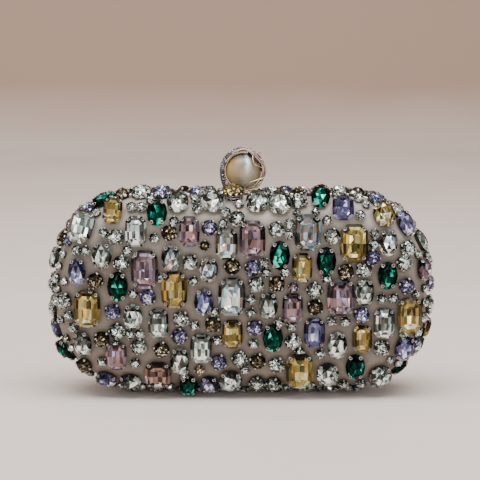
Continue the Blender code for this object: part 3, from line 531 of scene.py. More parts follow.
# Cuts of stone. A cut's sizes are its width and height at the girdle, and its levels are the
# heights of the girdle, the middle of the crown and the table.
cuts = {
    "octagon": {"size": (0.013, 0.018), "corner": 0.0034, "levels": (0.0016, 0.0029, 0.0038),
                "insets": (0.0013, 0.0026, 0.0042), "fine": 0.0, "clawAngle": 45},
    "oval": {"size": (0.0094, 0.0134), "mains": 6, "levels": (0.0015, 0.0029, 0.0037),
             "shares": (0.76, 0.54), "fine": 0.15, "clawAngle": 52},
    "cushion": {"size": (0.012, 0.013), "mains": 7, "levels": (0.0016, 0.003, 0.0039),
                "shares": (0.77, 0.54), "fine": 0.4, "clawAngle": 45},
    "round": {"size": (0.0078, 0.0078), "mains": 8, "levels": (0.0014, 0.0027, 0.0034),
              "shares": (0.75, 0.5), "fine": 1.0, "clawAngle": 45},
    "small": {"size": (0.005, 0.005), "mains": 6, "levels": (0.001, 0.0019, 0.0024),
              "shares": (0.75, 0.5), "fine": 1.0, "clawAngle": 45},
}
cutOrder = list(cuts)
footShare = 0.8   # how far a stone draws in below its girdle
bow = 0.965   # an octagon's width near its corners, as a share of its middle's
leastCorner = 5   # an octagon's corners keep at least this part of their size higher up
keelShares = (1, 0.1, -1)   # heights along an octagon's keel
pointDrop = 30   # the other stones' points lie this part of the height under the middle


def octagonLoop(size, corner, inset):
    # The long sides bow out a little to a corner in their middles
    halfWidth, halfTall = size[0] / 2 - inset, size[1] / 2 - inset
    corner = max(corner - inset * (2 - math.sqrt(2)), corner / leastCorner)
    quarter = ((halfWidth * bow, halfTall - corner), (halfWidth - corner, halfTall))
    half = [(halfWidth, 0), *quarter, *((-x, y) for x, y in reversed(quarter))]
    return half + [(-x, -y) for x, y in half]


def ovalLoop(size, count, share=1, offset=0.0):
    angles = [(index + offset) * 2 * math.pi / count for index in range(count)]
    return [(size[0] / 2 * share * math.cos(angle), size[1] / 2 * share * math.sin(angle))
            for angle in angles]


def circle(count):
    return ovalLoop((2, 2), count)


def ringOf(shape, loop, height):
    return [shape.verts.new((x, y, height)) for x, y in loop]


def underside(shape, girdle, loop):
    # The closed part below the girdle, drawn in so that the edge throws a shadow
    foot = ringOf(shape, [(x * footShare, y * footShare) for x, y in loop], 0)
    loft(shape, [foot, girdle])
    shape.faces.new(reversed(foot))


def stepCut(settings):
    # Straight steps up from the girdle to a long table, where the keel shows through
    shape, size, insets = bmesh.new(), settings["size"], (0, *settings["insets"])
    tableHeight = settings["levels"][2]
    loops = [octagonLoop(size, settings["corner"], inset) for inset in insets]
    rings = [ringOf(shape, loop, height)
             for loop, height in zip(loops, (*settings["levels"], tableHeight))]
    underside(shape, rings[0], loops[0])
    loft(shape, rings)
    reach = (size[1] - size[0]) / 2 + insets[1]
    top, middle, bottom = (shape.verts.new((0, reach * share, tableHeight))
                           for share in keelShares)
    for loop in ((0, 1, top, middle), (9, 0, middle, bottom), (4, 5, middle, top),
                 (5, 6, bottom, middle), (1, 2, top), (2, 3, top), (3, 4, top),
                 (6, 7, bottom), (7, 8, bottom), (8, 9, bottom)):
        shape.faces.new([rings[-1][part] if isinstance(part, int) else part for part in loop])
    return shape


def brilliantCut(settings):
    # Kites, stars and girdle facets round a table that shows the stone's point
    shape, size, mains = bmesh.new(), settings["size"], settings["mains"]
    girdleHeight, middleHeight, tableHeight = settings["levels"]
    middleShare, tableShare = settings["shares"]
    girdleLoop = ovalLoop(size, 2 * mains)
    girdle = ringOf(shape, girdleLoop, girdleHeight)
    underside(shape, girdle, girdleLoop)
    middle = ringOf(shape, ovalLoop(size, mains, middleShare, 0.5), middleHeight)
    table = ringOf(shape, ovalLoop(size, mains, tableShare), tableHeight)
    point = shape.verts.new((0, -size[1] / pointDrop, tableHeight))
    for index in range(mains):
        after = table[(index + 1) % mains]
        low, beside, last = (girdle[(2 * index + step) % (2 * mains)] for step in range(3))
        for face in ((table[index], middle[index - 1], low, middle[index]),
                     (table[index], middle[index], after), (middle[index], low, beside),
                     (middle[index], beside, last), (point, table[index], after)):
            shape.faces.new(face)
    return shape


# Painted light on the facets: lower facets lighter, facets that face up or slope steeply darker,
# the table lighter, and a little change from side to side
shading = {"base": 0.12, "fall": 0.12, "lean": 0.08, "slope": 0.35, "under": 0.0,
           "table": 0.05, "flatFrom": 0.99, "steep": 0.75, "stepLoose": 0.62}


def putAttribute(mesh, name, values, domain="FACE", kind="FLOAT"):
    word = "vector" if kind == "FLOAT_VECTOR" else "value"
    mesh.attributes.new(name, kind, domain).data.foreach_set(word, values)


def shadeFacets(mesh, fine):
    # A stone is lit through its far side, so its lower facets are lighter than its upper ones
    reach, count = max(vertex.co.y for vertex in mesh.vertices), len(mesh.polygons)
    shades = mesh.attributes.new("shade", "FLOAT", "FACE").data
    for polygon, shade in zip(mesh.polygons, shades):
        x, y, normal = polygon.center.x / reach, polygon.center.y / reach, polygon.normal
        shade.value = (shading["base"] - shading["fall"] * y - shading["lean"] * x
                       - shading["slope"] * normal.y)
        if normal.z > shading["flatFrom"]:
            shade.value += shading["table"]
        shade.value -= shading["steep"] * (1 - normal.z)
        if normal.z < 0:
            shade.value = shading["under"]
    putAttribute(mesh, "fine", [fine] * count)
    putAttribute(mesh, "loose", [1.0 if fine else shading["stepLoose"]] * count)


# A claw setting: a low wall under the girdle, and claws with an eye at their tips
settingSizes = {"wallShare": 0.9, "wall": 0.0003, "sunk": 0.0018, "wallTop": 0.9,
                "proud": 0.0003, "clawWidth": 0.0012, "clawThickness": 0.00026,
                "eyeRadius": 0.00072, "eyeWire": 0.00024, "eyeTilt": 32, "smallScale": 0.62,
                "wallBend": 0.8, "wallCrest": 1.05, "sides": 16, "smallSides": 10,
                "clawBend": 0.5, "bendAt": 0.75, "tipIn": 2, "tipUp": 3,
                "clawShares": (1.0, 0.95, 0.85, 0.6), "eyeShift": 0.9, "eyeSides": 9,
                "eyeWireSides": 5, "sharpFrom": 50}
# A prong's rings above its foot: how far out and up as shares of its radius, with the share of
# the girdle's height that goes under them, and the ring's own share; then its tip
prongShares = ((0.3, 0.0, 0.8, 1.0), (0.2, 0.5, 1.0, 1.0), (-0.4, 1.5, 1.0, 0.75))
prongFootShare, prongFlat, prongTip, prongSides = 0.8, 0.7, (-0.7, 1.8), 6


def clawStrap(shape, matrix, foot, height):
    # A strap that climbs from the wall round the girdle and bends in over the stone
    width, thick = settingSizes["clawWidth"], settingSizes["clawThickness"]
    proud, rings = settingSizes["proud"], []
    level, bent = Vector((1, 0, 0)), Vector((settingSizes["clawBend"], 0, 1)).normalized()
    stations = ((level, -foot, 0.0), (level, proud, height * settingSizes["bendAt"]),
                (bent, proud, height + thick),
                (bent, -thick * settingSizes["tipIn"], height + thick * settingSizes["tipUp"]))
    for (lean, out, up), share in zip(stations, settingSizes["clawShares"]):
        rings.append([shape.verts.new(matrix @ (Vector((out, across * width * share / 2, up))
                                                - lean * thick * deep))
                      for across, deep in ((-1, 0), (1, 0), (1, 1), (-1, 1))])
    loft(shape, rings, caps=True)


def clawEye(shape, matrix, height):
    radius, thick = settingSizes["eyeRadius"], settingSizes["eyeWire"]
    matrix = (matrix @ Matrix.Translation((-radius * settingSizes["eyeShift"], 0,
                                           height + thick))
              @ Matrix.Rotation(math.radians(settingSizes["eyeTilt"]), 4, "Y"))
    loft(shape, [[shape.verts.new(matrix @ Vector((
        (radius + thick * wide) * x, (radius + thick * wide) * y, thick * up)))
        for wide, up in circle(settingSizes["eyeWireSides"])]
        for x, y in circle(settingSizes["eyeSides"])], closed=True)


def prong(shape, matrix, foot, height, radius):
    # A round stone's prong is a peg with a domed tip
    stations = [(-foot, 0.0, prongFootShare)]
    stations += [(radius * out, height * under + radius * up, share)
                 for out, up, under, share in prongShares]
    rings = [[shape.verts.new(matrix @ Vector((out + radius * share * x * prongFlat,
                                               radius * share * y, up)))
              for x, y in circle(prongSides)] for out, up, share in stations]
    tip = shape.verts.new(matrix @ Vector((radius * prongTip[0], 0,
                                           height + radius * prongTip[1])))
    loft(shape, rings)
    for first, second in zip(rings[-1], rings[-1][1:] + rings[-1][:1]):
        shape.faces.new((first, second, tip))
    shape.faces.new(reversed(rings[0]))


def settingShape(name):
    settings, share, wall = cuts[name], settingSizes["wallShare"], settingSizes["wall"]
    (width, height), girdle = settings["size"], settings["levels"][0]
    stepped, corner = name == "octagon", settings.get("corner", 0)
    top, sunk = girdle * settingSizes["wallTop"], -settingSizes["sunk"]
    shape, rings = bmesh.new(), []
    for out, level in ((0, sunk), (0, top * settingSizes["wallBend"]), (wall, top),
                       (0, top * settingSizes["wallCrest"]), (-wall, top), (-wall, sunk)):
        if stepped:
            loop = octagonLoop((width * share, height * share), corner * share, -out)
        else:
            loop = ovalLoop((width * share + 2 * out, height * share + 2 * out),
                            settingSizes["smallSides" if name == "small" else "sides"])
        rings.append(ringOf(shape, loop, level))
    loft(shape, rings, closed=True)
    foot, radius = (width + height) / 4 * (1 - share), settingSizes["eyeRadius"]
    across, along = (math.cos(math.radians(settings["clawAngle"])),
                     math.sin(math.radians(settings["clawAngle"])))
    for right, up in ((1, 1), (-1, 1), (-1, -1), (1, -1)):
        if stepped:
            x, y, facing = (width - corner) / 2, (height - corner) / 2, math.atan2(up, right)
        else:
            x, y = width / 2 * across, height / 2 * along
            facing = math.atan2(up * y * width ** 2, right * x * height ** 2)
        matrix = Matrix.Translation((right * x, up * y, 0)) @ Matrix.Rotation(facing, 4, "Z")
        if name in ("round", "small"):
            scale = settingSizes["smallScale"] if name == "small" else 1.0
            prong(shape, matrix, foot, girdle, radius * scale)
        else:
            clawStrap(shape, matrix, foot, girdle)
            clawEye(shape, matrix,
                    girdle + settingSizes["clawThickness"] * settingSizes["tipUp"])
    return shape


cutShelf, settingShelf = newCollection("cuts of stone"), newCollection("claw settings")
for index, name in enumerate(cutOrder):
    cutter = stepCut if name == "octagon" else brilliantCut
    cut = meshPiece(f"cut{index}{name.title()}", cutter(cuts[name]), cutShelf)
    shadeFacets(cut.data, cuts[name]["fine"])
    setting = smooth(meshPiece(f"setting{index}{name.title()}", settingShape(name),
                               settingShelf), settingSizes["sharpFrom"])
    top = max(vertex.co.z for vertex in setting.data.vertices)
    putAttribute(setting.data, "worn", [max(vertex.co.z / top, 0)
                                        for vertex in setting.data.vertices], "POINT")


# Geometry Nodes: one tree sets stones, or settings, on a cloud of seats, another strings beads

def newTree(name, inputs):
    tree = bpy.data.node_groups.new(name, "GeometryNodeTree")
    for label, kind in {"Geometry": "Geometry", **inputs}.items():
        tree.interface.new_socket(name=label, in_out="INPUT", socket_type="NodeSocket" + kind)
    tree.interface.new_socket(name="Geometry", in_out="OUTPUT", socket_type="NodeSocketGeometry")
    return tree, addNode(tree, "NodeGroupInput").outputs


def endTree(tree, last, finish):
    last = addNode(tree, "GeometryNodeSetMaterial", {"Geometry": last, "Material": finish})
    addNode(tree, "NodeGroupOutput", {0: last.outputs[0]})
    return tree


def stonesTree():
    tree, inside = newTree("stonesInSeats", {"Patterns": "Collection", "Finish": "Material",
                                             "Spread": "Float", "Seed": "Int"})

    def named(name, kind="FLOAT"):
        return addNode(tree, "GeometryNodeInputNamedAttribute", {"Name": name},
                       data_type=kind).outputs["Attribute"]

    patterns = addNode(tree, "GeometryNodeCollectionInfo", {
        "Collection": inside["Patterns"], "Separate Children": True, "Reset Children": True})
    turn = addNode(tree, "FunctionNodeEulerToRotation", {0: named("turn", "FLOAT_VECTOR")})
    seats = addNode(tree, "GeometryNodeInstanceOnPoints", {
        "Points": inside["Geometry"], "Instance": patterns.outputs[0], "Pick Instance": True,
        "Instance Index": named("cut", "INT"), "Rotation": turn.outputs[0],
        "Scale": named("stretch", "FLOAT_VECTOR")})
    whole = addNode(tree, "GeometryNodeRealizeInstances", {0: seats.outputs[0]})
    # Each facet's level is a random tone plus its painted light from the shade attribute
    spread = inside["Spread"]
    chance = addNode(tree, "FunctionNodeRandomValue", {3: spread, "Seed": inside["Seed"]},
                     data_type="FLOAT")
    swing = mathNode(tree, "MULTIPLY_ADD", spread, -0.5, chance.outputs[1])
    middle = mathNode(tree, "MULTIPLY_ADD", spread, 0.5, named("shade"))
    total = mathNode(tree, "MULTIPLY_ADD", swing, named("loose"), middle)
    last = addNode(tree, "GeometryNodeStoreNamedAttribute", {
        "Geometry": whole.outputs[0], "Name": "facet", "Value": total}, data_type="FLOAT",
        domain="FACE")
    for name in ("turn", "stretch", "cut", "shade", "loose"):
        last = addNode(tree, "GeometryNodeRemoveAttribute", {"Geometry": last.outputs[0],
                                                             "Name": name})
    return endTree(tree, last.outputs[0], inside["Finish"])


def beadTree():
    tree, inside = newTree("beadsOnRing", {"Count": "Int", "Reach": "Float", "Radius": "Float",
                                           "Centre": "Vector", "Finish": "Material"})
    ring = addNode(tree, "GeometryNodeMeshCircle", {"Vertices": inside["Count"],
                                                    "Radius": inside["Reach"]})
    stand = addNode(tree, "GeometryNodeTransform", {
        "Geometry": ring.outputs[0], "Translation": inside["Centre"],
        "Rotation": (math.pi / 2, 0, 0)})
    bead = addNode(tree, "GeometryNodeMeshIcoSphere", {"Radius": inside["Radius"],
                                                       "Subdivisions": 2})
    seats = addNode(tree, "GeometryNodeInstanceOnPoints", {"Points": stand.outputs[0],
                                                           "Instance": bead.outputs[0]})
    whole = addNode(tree, "GeometryNodeRealizeInstances", {0: seats.outputs[0]})
    return endTree(tree, whole.outputs[0], inside["Finish"])


def grown(thing, name, tree, values):
    # Runs a tree on an object with the given inputs
    modifier = thing.modifiers.new(tree.name, "NODES")
    modifier.node_group = tree
    for item in tree.interface.items_tree:
        if item.in_out == "INPUT" and item.name in values:
            modifier[item.identifier] = values[item.name]
    return plainMesh(thing, name)


seatTree = stonesTree()


def setStones(name, seats, patterns, finish, spread=0.0, seed=0):
    # One point for each seat, which begins with its matrix, cut and stretch
    cloud = bpy.data.meshes.new(name + "Seats")
    cloud.from_pydata([seat[0].translation for seat in seats], [], [])
    turns = [angle for seat in seats for angle in seat[0].to_euler()]
    putAttribute(cloud, "turn", turns, "POINT", "FLOAT_VECTOR")
    putAttribute(cloud, "stretch", [share for seat in seats for share in seat[2]], "POINT",
                 "FLOAT_VECTOR")
    putAttribute(cloud, "cut", [cutOrder.index(seat[1]) for seat in seats], "POINT", "INT")
    return grown(addObject(name + "Seats", cloud, patternShelf), name, seatTree, {
        "Patterns": patterns, "Finish": finish, "Spread": spread, "Seed": seed})


# Stones on a face: shares of the half length and half height, then tone, lean in degrees, and
# width and height as shares of the cut's own
octagonShares = (
    (-0.83, 0.685, "clear", -10, 0.95, 0.9), (-0.505, 0.285, "pink", 0, 1.0, 1.03),
    (-0.35, 0.08, "gold", 0, 0.96, 0.99), (-0.048, 0.01, "frost", 0, 1.0, 1.03),
    (0.06, 0.59, "pink", 0, 0.96, 1.01), (0.35, 0.66, "frost", 0, 1.0, 0.98),
    (0.592, 0.55, "gold", 0, 1.05, 1.03), (-0.81, -0.12, "gold", 0, 1.0, 1.01),
    (0.525, 0.0, "pink", 0, 1.02, 0.99), (0.31, -0.755, "gold", 0, 1.02, 0.98),
    (0.885, -0.19, "gold", 0, 0.95, 0.97),
    (-0.67, 0.85, "gold", -4, 0.72, 0.72), (-0.55, 0.67, "clear", 0, 0.79, 0.84),
    (-0.27, 0.67, "pink", 0, 0.75, 0.82), (-0.075, 0.545, "frost", 0, 0.81, 0.84),
    (0.32, 0.305, "gold", 0, 0.75, 0.78), (0.535, 0.88, "lilac", 0, 0.8, 0.68),
    (-0.435, -0.27, "clear", 0, 0.75, 0.81), (-0.21, -0.525, "clear", 0, 0.81, 0.8),
    (-0.045, -0.375, "gold", 0, 0.75, 0.78), (0.272, -0.11, "pink", 0, 0.76, 0.81),
    (0.387, -0.365, "lilac", 0, 0.79, 0.8), (0.64, -0.43, "gold", 0, 0.73, 0.75),
    (0.755, -0.27, "clear", 0, 0.8, 0.82), (-0.66, -0.61, "pink", 0, 0.79, 0.76),
    (-0.44, -0.8, "blush", 0, 0.98, 0.76),
)
ovalShares = (
    (-0.44, 0.84, "green", 0, 1.06, 1.02), (-0.648, 0.11, "green", 0, 1.07, 1.1),
    (0.203, 0.43, "green", 0, 1.06, 1.07), (0.447, 0.37, "green", 0, 1.02, 1.05),
    (0.77, 0.22, "green", 0, 1.03, 1.03), (0.168, -0.415, "green", 0, 1.05, 1.06),
    (0.605, -0.72, "green", 0, 1.02, 0.98), (0.42, 0.965, "green", -8, 1.0, 0.98),
    (-0.73, 0.425, "clear", 0, 1.04, 1.01), (-0.86, 0.255, "lilac", 0, 0.93, 1.01),
    (-0.367, 0.4, "frost", 0, 1.0, 1.01), (-0.17, 0.285, "frost", 0, 1.0, 0.94),
    (0.745, 0.81, "gold", 8, 1.18, 1.0), (0.858, 0.7, "lilac", 15, 0.9, 1.0),
    (0.77, 0.555, "frost", 0, 1.0, 1.0), (0.65, 0.05, "clear", 0, 1.0, 1.0),
    (-0.57, -0.2, "clear", 0, 1.0, 0.98), (-0.835, -0.48, "clear", 10, 0.95, 0.97),
    (-0.195, -0.045, "lilac", 0, 1.02, 1.0), (-0.325, -0.655, "clear", 0, 1.0, 1.0),
    (0.143, -0.08, "clear", 0, 1.0, 1.0), (0.508, -0.495, "clear", 0, 1.02, 1.0),
    (0.86, -0.53, "lilac", -12, 1.0, 0.98), (0.957, 0.26, "pink", 0, 0.78, 0.86),
    (-0.715, -0.85, "lilac", 78, 0.85, 0.8), (-0.59, -0.87, "clear", 90, 0.85, 0.8),
    (-0.28, -0.91, "green", 0, 1.0, 0.9), (-0.17, -0.9, "lilac", 0, 1.0, 0.72),
    (-0.935, -0.57, "green", 20, 0.9, 0.8),
)
cushionShares = (
    (-0.055, -0.86, "clear", 0, 0.96, 0.9),
    (0.46, -0.795, "clear", 0, 0.9, 0.95), (0.735, -0.82, "clear", 4, 1.0, 0.96),
    (-0.333, 0.93, "clear", 0, 0.9, 0.9), (-0.15, 0.93, "clear", 0, 0.92, 0.9),
    (0.083, 0.93, "clear", 0, 0.9, 0.9), (0.204, 0.92, "clear", 0, 0.94, 0.94),
)
# Round and small stones are clear where no tone is given
roundShares = (
    (-0.655, 0.61), (-0.628, 0.345), (-0.765, 0.165, "brown"), (-0.375, 0.655, "brown"),
    (-0.165, 0.705, "lilac"), (-0.268, 0.36), (-0.045, 0.315, "brown"), (-0.02, 0.79),
    (0.185, 0.69), (0.06, 0.3, "lilac"), (0.079, 0.13), (0.187, 0.14, "brown"), (0.385, 0.075),
    (0.478, 0.62), (0.872, 0.485), (0.55, 0.26, "brown"), (0.645, 0.28), (0.69, 0.4, "lilac"),
    (0.855, 0.345), (0.87, 0.11, "lilac"), (-0.93, -0.05), (-0.675, -0.15, "lilac"),
    (-0.735, -0.435, "brown"), (-0.655, -0.35), (-0.54, -0.51), (-0.83, -0.715, "brown"),
    (-0.49, 0.0, "lilac"), (-0.315, -0.22), (-0.147, -0.275, "brown"), (-0.325, -0.4, "lilac"),
    (-0.42, -0.54, "brown"), (-0.118, -0.67, "lilac"), (0.39, -0.1, "brown"),
    (0.073, -0.31, "lilac"), (0.275, -0.455), (-0.008, -0.635), (0.088, -0.66, "brown"),
    (0.19, -0.7), (0.635, -0.185, "lilac"), (0.745, -0.525), (0.085, -0.89), (0.175, -0.9),
    (0.305, 0.94),
)
smallShares = (
    (-0.865, 0.465), (-0.815, 0.47), (-0.72, 0.65), (-0.598, 0.47), (-0.575, 0.895),
    (-0.52, 0.895), (-0.35, 0.765), (-0.455, 0.6), (-0.23, 0.88), (-0.24, 0.96), (-0.08, 0.85),
    (-0.095, 0.745), (-0.19, 0.525, "brown"), (-0.25, 0.165), (0.255, 0.745), (0.25, 0.64),
    (0.12, 0.355), (0.13, 0.255), (0.23, 0.255), (0.275, 0.105, "pink"), (0.45, 0.775),
    (0.62, 0.965), (0.625, 0.82), (0.7, 0.64), (0.697, 0.54), (-0.565, 0.03), (-0.91, -0.2),
    (-0.885, -0.32), (-0.735, -0.67), (-0.59, -0.385), (-0.535, -0.385), (-0.56, -0.685),
    (-0.245, -0.29), (-0.125, -0.44), (-0.22, -0.755, "gold"), (0.053, -0.02), (0.053, -0.155),
    (0.265, -0.3), (0.065, -0.48), (0.02, -0.745), (0.31, -0.56), (0.42, -0.585), (0.74, -0.015),
    (0.805, -0.015), (0.478, -0.245), (0.55, -0.25), (0.545, -0.91), (0.64, -0.91), (0.45, 0.19),
    (-0.42, 0.2), (-0.14, -0.15), (-0.8, 0.03), (0.2, -0.26), (-0.66, -0.49), (0.86, -0.38),
    (0.41, -0.46), (-0.3, -0.8),
)
# Stones on the rim: share of the way round from the middle of the top, size share, tone and
# cut; clear and round where these aren't given
rimShares = (
    (0.032, 0.86), (0.058, 0.8, "brown"), (0.098, 0.98), (0.135, 1.05, "lilac"), (0.158, 1.1),
    (0.178, 0.85), (0.197, 0.85, "clear", "oval"), (0.219, 1.1), (0.241, 1.05, "lilac"),
    (0.263, 1.1), (0.286, 0.8, "gold", "oval"), (0.31, 1.1), (0.334, 0.82, "green", "oval"),
    (0.358, 1.05), (0.382, 1.0, "lilac"), (0.405, 0.9), (0.435, 0.95), (0.465, 0.95, "gold"),
    (0.495, 0.95), (0.525, 0.95, "lilac"), (0.555, 0.95), (0.585, 0.95, "brown"), (0.61, 0.98),
    (0.635, 1.05), (0.66, 1.05), (0.688, 0.92, "green", "oval"), (0.713, 0.8, "lilac", "oval"),
    (0.733, 1.1), (0.757, 1.0), (0.785, 0.85, "clear", "oval"), (0.806, 1.05, "brown"),
    (0.822, 0.9, "pink"), (0.845, 0.92, "lilac"), (0.862, 0.92, "green", "oval"),
    (0.881, 0.9, "brown"), (0.899, 1.25), (0.92, 1.15, "lilac"), (0.955, 0.95, "lilac"),
)
rimDepth, rimLean = 0.006, 0.18
crest = {"lean": 0.62, "rise": 0.0011}   # rim stones lean forward and stand up on the front's top
footFlat = 0.17   # how much flatter the rim stones are under the clutch
rearReach = 0.9   # how high the rear face's stones go, so that they stay behind the top edge
seatReach = 0.25   # how far a stone that turns back is lifted, as a share of its height
depthShare = 0.65   # how much of an octagon's depth follows its width and height
spins = {"face": 37, "rim": 29, "range": 45}   # each next round stone is turned, in degrees
backTones = {"gold": "pink", "pink": "gold"}   # the tones that change places on the back
fillers = {"seed": 14, "tries": 5200, "gap": 0.0004, "knobRoom": 0.0075,
           "knobBelow": edgeRadius / 4, "seamRoom": 0.0042,
           "spin": 45, "sizeShares": (1.0, 0.88, 0.78), "arcShare": 1.25, "overlapShare": 0.93,
           "tones": ("clear",) * 7 + ("lilac", "brown", "gold")}


def listStones(side):
    # Every stone of a half but the fillers: (matrix, cut, stretch, tone)
    stones = []
    for kind, table in (("octagon", octagonShares), ("oval", ovalShares),
                        ("cushion", cushionShares)):
        for uShare, vShare, tone, lean, width, height in table:
            vShare = vShare if side == front else min(vShare, rearReach)
            deep = (width + height) / 2 if kind == "octagon" else 1.0
            seat = faceSeat(uShare, vShare, lean, side, cuts[kind]["size"][1] * height * seatReach)
            stones.append((seat, kind, (width, height, 1 - depthShare + depthShare * deep), tone))
    for kind, table in (("round", roundShares), ("small", smallShares)):
        for index, entry in enumerate(table):
            uShare, vShare, tone = (*entry, "clear")[:3]
            seat = faceSeat(uShare, vShare, index * spins["face"] % spins["range"], side,
                            cuts[kind]["size"][1] * seatReach)
            stones.append((seat, kind, (1.0, 1.0, 1.0), tone))
    for index, entry in enumerate(rimShares):
        share, size, tone, kind = entry + (1, 1, "clear", "round")[len(entry):]
        upward = outlinePlace(share)[1][1]
        top, foot = max(upward, 0) ** 2 if side == front else 0, max(-upward, 0) ** 2
        seat = rimSeat(share, rimDepth, rimLean + (crest["lean"] - rimLean) * top, side,
                       90 if kind == "oval" else index * spins["rim"] % spins["range"])
        stones.append((seat @ Matrix.Translation((0, 0, crest["rise"] * top)), kind,
                       (size, size, 1.0 - footFlat * foot), tone))
    if side == rear:
        stones = [(*stone[:3], backTones.get(stone[3], stone[3])) for stone in stones]
    return stones


def stoneRadius(kind, stretch):
    size = cuts[kind]["size"]
    return (size[0] * stretch[0] + size[1] * stretch[1]) / 4 + settingSizes["proud"]


def listFillers(stones, side):
    # Small stones wherever the rim and the rolled edge still have room
    chance = random.Random(fillers["seed"] + side)
    places = [(stone[0].translation.copy(), stoneRadius(*stone[1:3])) for stone in stones]
    top, found = centreHeight + halfHeight - fillers["knobBelow"], []
    for _ in range(fillers["tries"]):
        arc = chance.uniform(fillers["seamRoom"], wallDepth + edgeRadius * fillers["arcShare"])
        share = chance.random()
        seat = rimSeat(share, arc, max(arc - wallDepth, 0) / edgeRadius, side,
                       chance.uniform(0, fillers["spin"]))
        size = chance.choice(fillers["sizeShares"])
        place, radius = seat.translation, stoneRadius("small", (size, size))
        if place.z > top and abs(place.x - leverX) < fillers["knobRoom"]:
            continue
        if place.z < wallDepth and abs(place.y) < wallDepth:
            continue
        if all((place - other).length > radius + otherRadius * fillers["overlapShare"]
               + fillers["gap"] for other, otherRadius in places):
            places.append((place.copy(), radius))
            found.append((seat, "small", (size, size, 1.0), chance.choice(fillers["tones"])))
    return found


# Satin covers: the skin with a fine mesh, drawn down round each setting and turned in at the seam
# The cover's sizes, with the reach and strength of the dents and of the painted shade round each
# setting
coverSizes = {"offset": 0, "thickness": 0.0012, "start": 0.0014, "hem": 0.0005, "pull": 0.00035,
              "pullWidth": 0.0016, "paintedShadeWidth": 0.0018, "paintedShadeShare": 0.75,
              "dentAndShadeReach": edgeRadius / 2, "cornerSteps": 34, "longSteps": 72,
              "sideSteps": 8, "edgeSteps": 14, "faceRings": 30}
liningSizes = {"offset": 0.0039, "thickness": 0.0006, "start": 0.0016, "hem": 0.0002,
               "cornerSteps": 18, "longSteps": 20, "sideSteps": 3, "edgeSteps": 8,
               "faceRings": 10}


def roundOutline(inset, sizes):
    radius, points = cornerRadius - inset, []
    for quarter, (right, up) in enumerate(((1, 1), (-1, 1), (-1, -1), (1, -1))):
        for step in range(sizes["cornerSteps"] + 1):
            angle = (quarter + step / sizes["cornerSteps"]) * math.pi / 2
            points.append((right * longStraight + radius * math.cos(angle),
                           up * shortStraight + radius * math.sin(angle)))
        x, z = points[-1]
        alongX, alongZ = ((2 * right * longStraight, 0), (0, 2 * up * shortStraight))[quarter % 2]
        steps = sizes[("longSteps", "sideSteps")[quarter % 2]]
        points += [(x - alongX * step / steps, z - alongZ * step / steps)
                   for step in range(1, steps)]
    return points


def dishRings(offset, start, hem, sizes):
    # Rings of one surface of a dish, from the seam to near the middle of its face
    edge = edgeRadius - offset
    rings = [[(x, start + hem * (1 - math.sin(turn)), z)
              for x, z in roundOutline(offset + hem * (1 - math.cos(turn)), sizes)]
             for turn in (math.pi / 2, math.pi / 4, 0)]
    for step in range(sizes["edgeSteps"] + 1):
        angle = step / sizes["edgeSteps"] * math.pi / 2
        rings.append([(x, wallDepth + math.sin(angle) * (edge + crownAt(x, z)), z) for x, z in
                      roundOutline(offset + edge * (1 - math.cos(angle)), sizes)])
    last = rings[-1]
    for ring in range(1, sizes["faceRings"]):
        share = 1 - ring / sizes["faceRings"]
        rings.append([(x * share, wallDepth + edge + crownAt(x * share, z * share), z * share)
                      for x, _, z in last])
    return rings, (0, wallDepth + edge + crown, 0)


def seamVerts(shape, side, points):
    return [shape.verts.new((x, side * depth, centreHeight + z)) for x, depth, z in points]


def dishPiece(name, side, sizes):
    # A closed dish: its outer and inner surfaces meet along the seam
    outer, outerMiddle = dishRings(sizes["offset"], sizes["start"], sizes["hem"], sizes)
    inner, innerMiddle = dishRings(sizes["offset"] + sizes["thickness"], sizes["start"], 0, sizes)
    shape = bmesh.new()
    rings = [seamVerts(shape, side, ring) for ring in inner[:1:-1] + outer]
    loft(shape, rings)
    middles = seamVerts(shape, side, (innerMiddle, outerMiddle))
    for ring, middle in zip((rings[0], rings[-1]), middles):
        for first, second in zip(ring, ring[1:] + ring[:1]):
            shape.faces.new((first, second, middle))
    return meshPiece(name, shape)


def pullDown(mesh, stones):
    # Soft dents in the satin round the settings, and painted shade on the satin near each setting
    count = len(mesh.vertices)
    places, normals = np.zeros(count * 3), np.zeros(count * 3)
    mesh.vertices.foreach_get("co", places)
    mesh.vertices.foreach_get("normal", normals)
    places, normals = places.reshape(-1, 3), normals.reshape(-1, 3)
    dent, paintedShade = np.zeros(count), np.zeros(count)
    for seat, kind, stretch, _ in stones:
        width, height = (size * share for size, share in zip(cuts[kind]["size"], stretch))
        local = (places - np.array(seat.translation)) @ np.array(seat.to_3x3())
        across = local[:, 0] / (width / 2 + settingSizes["proud"])
        along = local[:, 1] / (height / 2 + settingSizes["proud"])
        away = np.clip((np.hypot(across, along) - 1) * min(width, height) / 2, 0, None)
        beside = np.abs(local[:, 2]) <= coverSizes["dentAndShadeReach"]
        # Painted shade: the satin is darkened near each setting, where the stones shade it
        shade = np.exp(-away / coverSizes["paintedShadeWidth"]) * beside
        paintedShade = 1 - (1 - paintedShade) * (1 - coverSizes["paintedShadeShare"] * shade)
        dent = np.maximum(dent, np.exp(-(away / coverSizes["pullWidth"]) ** 2) * beside)
    places -= normals * (dent * coverSizes["pull"])[:, None]
    mesh.vertices.foreach_set("co", places.ravel())
    putAttribute(mesh, "paintedShade", paintedShade, "POINT")
    mesh.update()


def boxTool(name, play, start, end):
    # A box as wide as the lever with some play, from one depth and height to another
    half = (leverHigh.x - leverLow.x) / 2 + play
    start, end = Vector((leverX - half, *start)), Vector((leverX + half, *end))
    shape = bmesh.new()
    bmesh.ops.create_cube(shape, size=1, matrix=Matrix.Translation((start + end) / 2)
                          @ Matrix.Diagonal((*(end - start), 1)))
    return meshPiece(name, shape, patternShelf)


def carved(thing, name, degrees, *tools):
    for tool, operation in tools:
        cut = thing.modifiers.new(tool.name, "BOOLEAN")
        cut.object, cut.operation = tool, operation
    return smooth(plainMesh(thing, name), degrees)


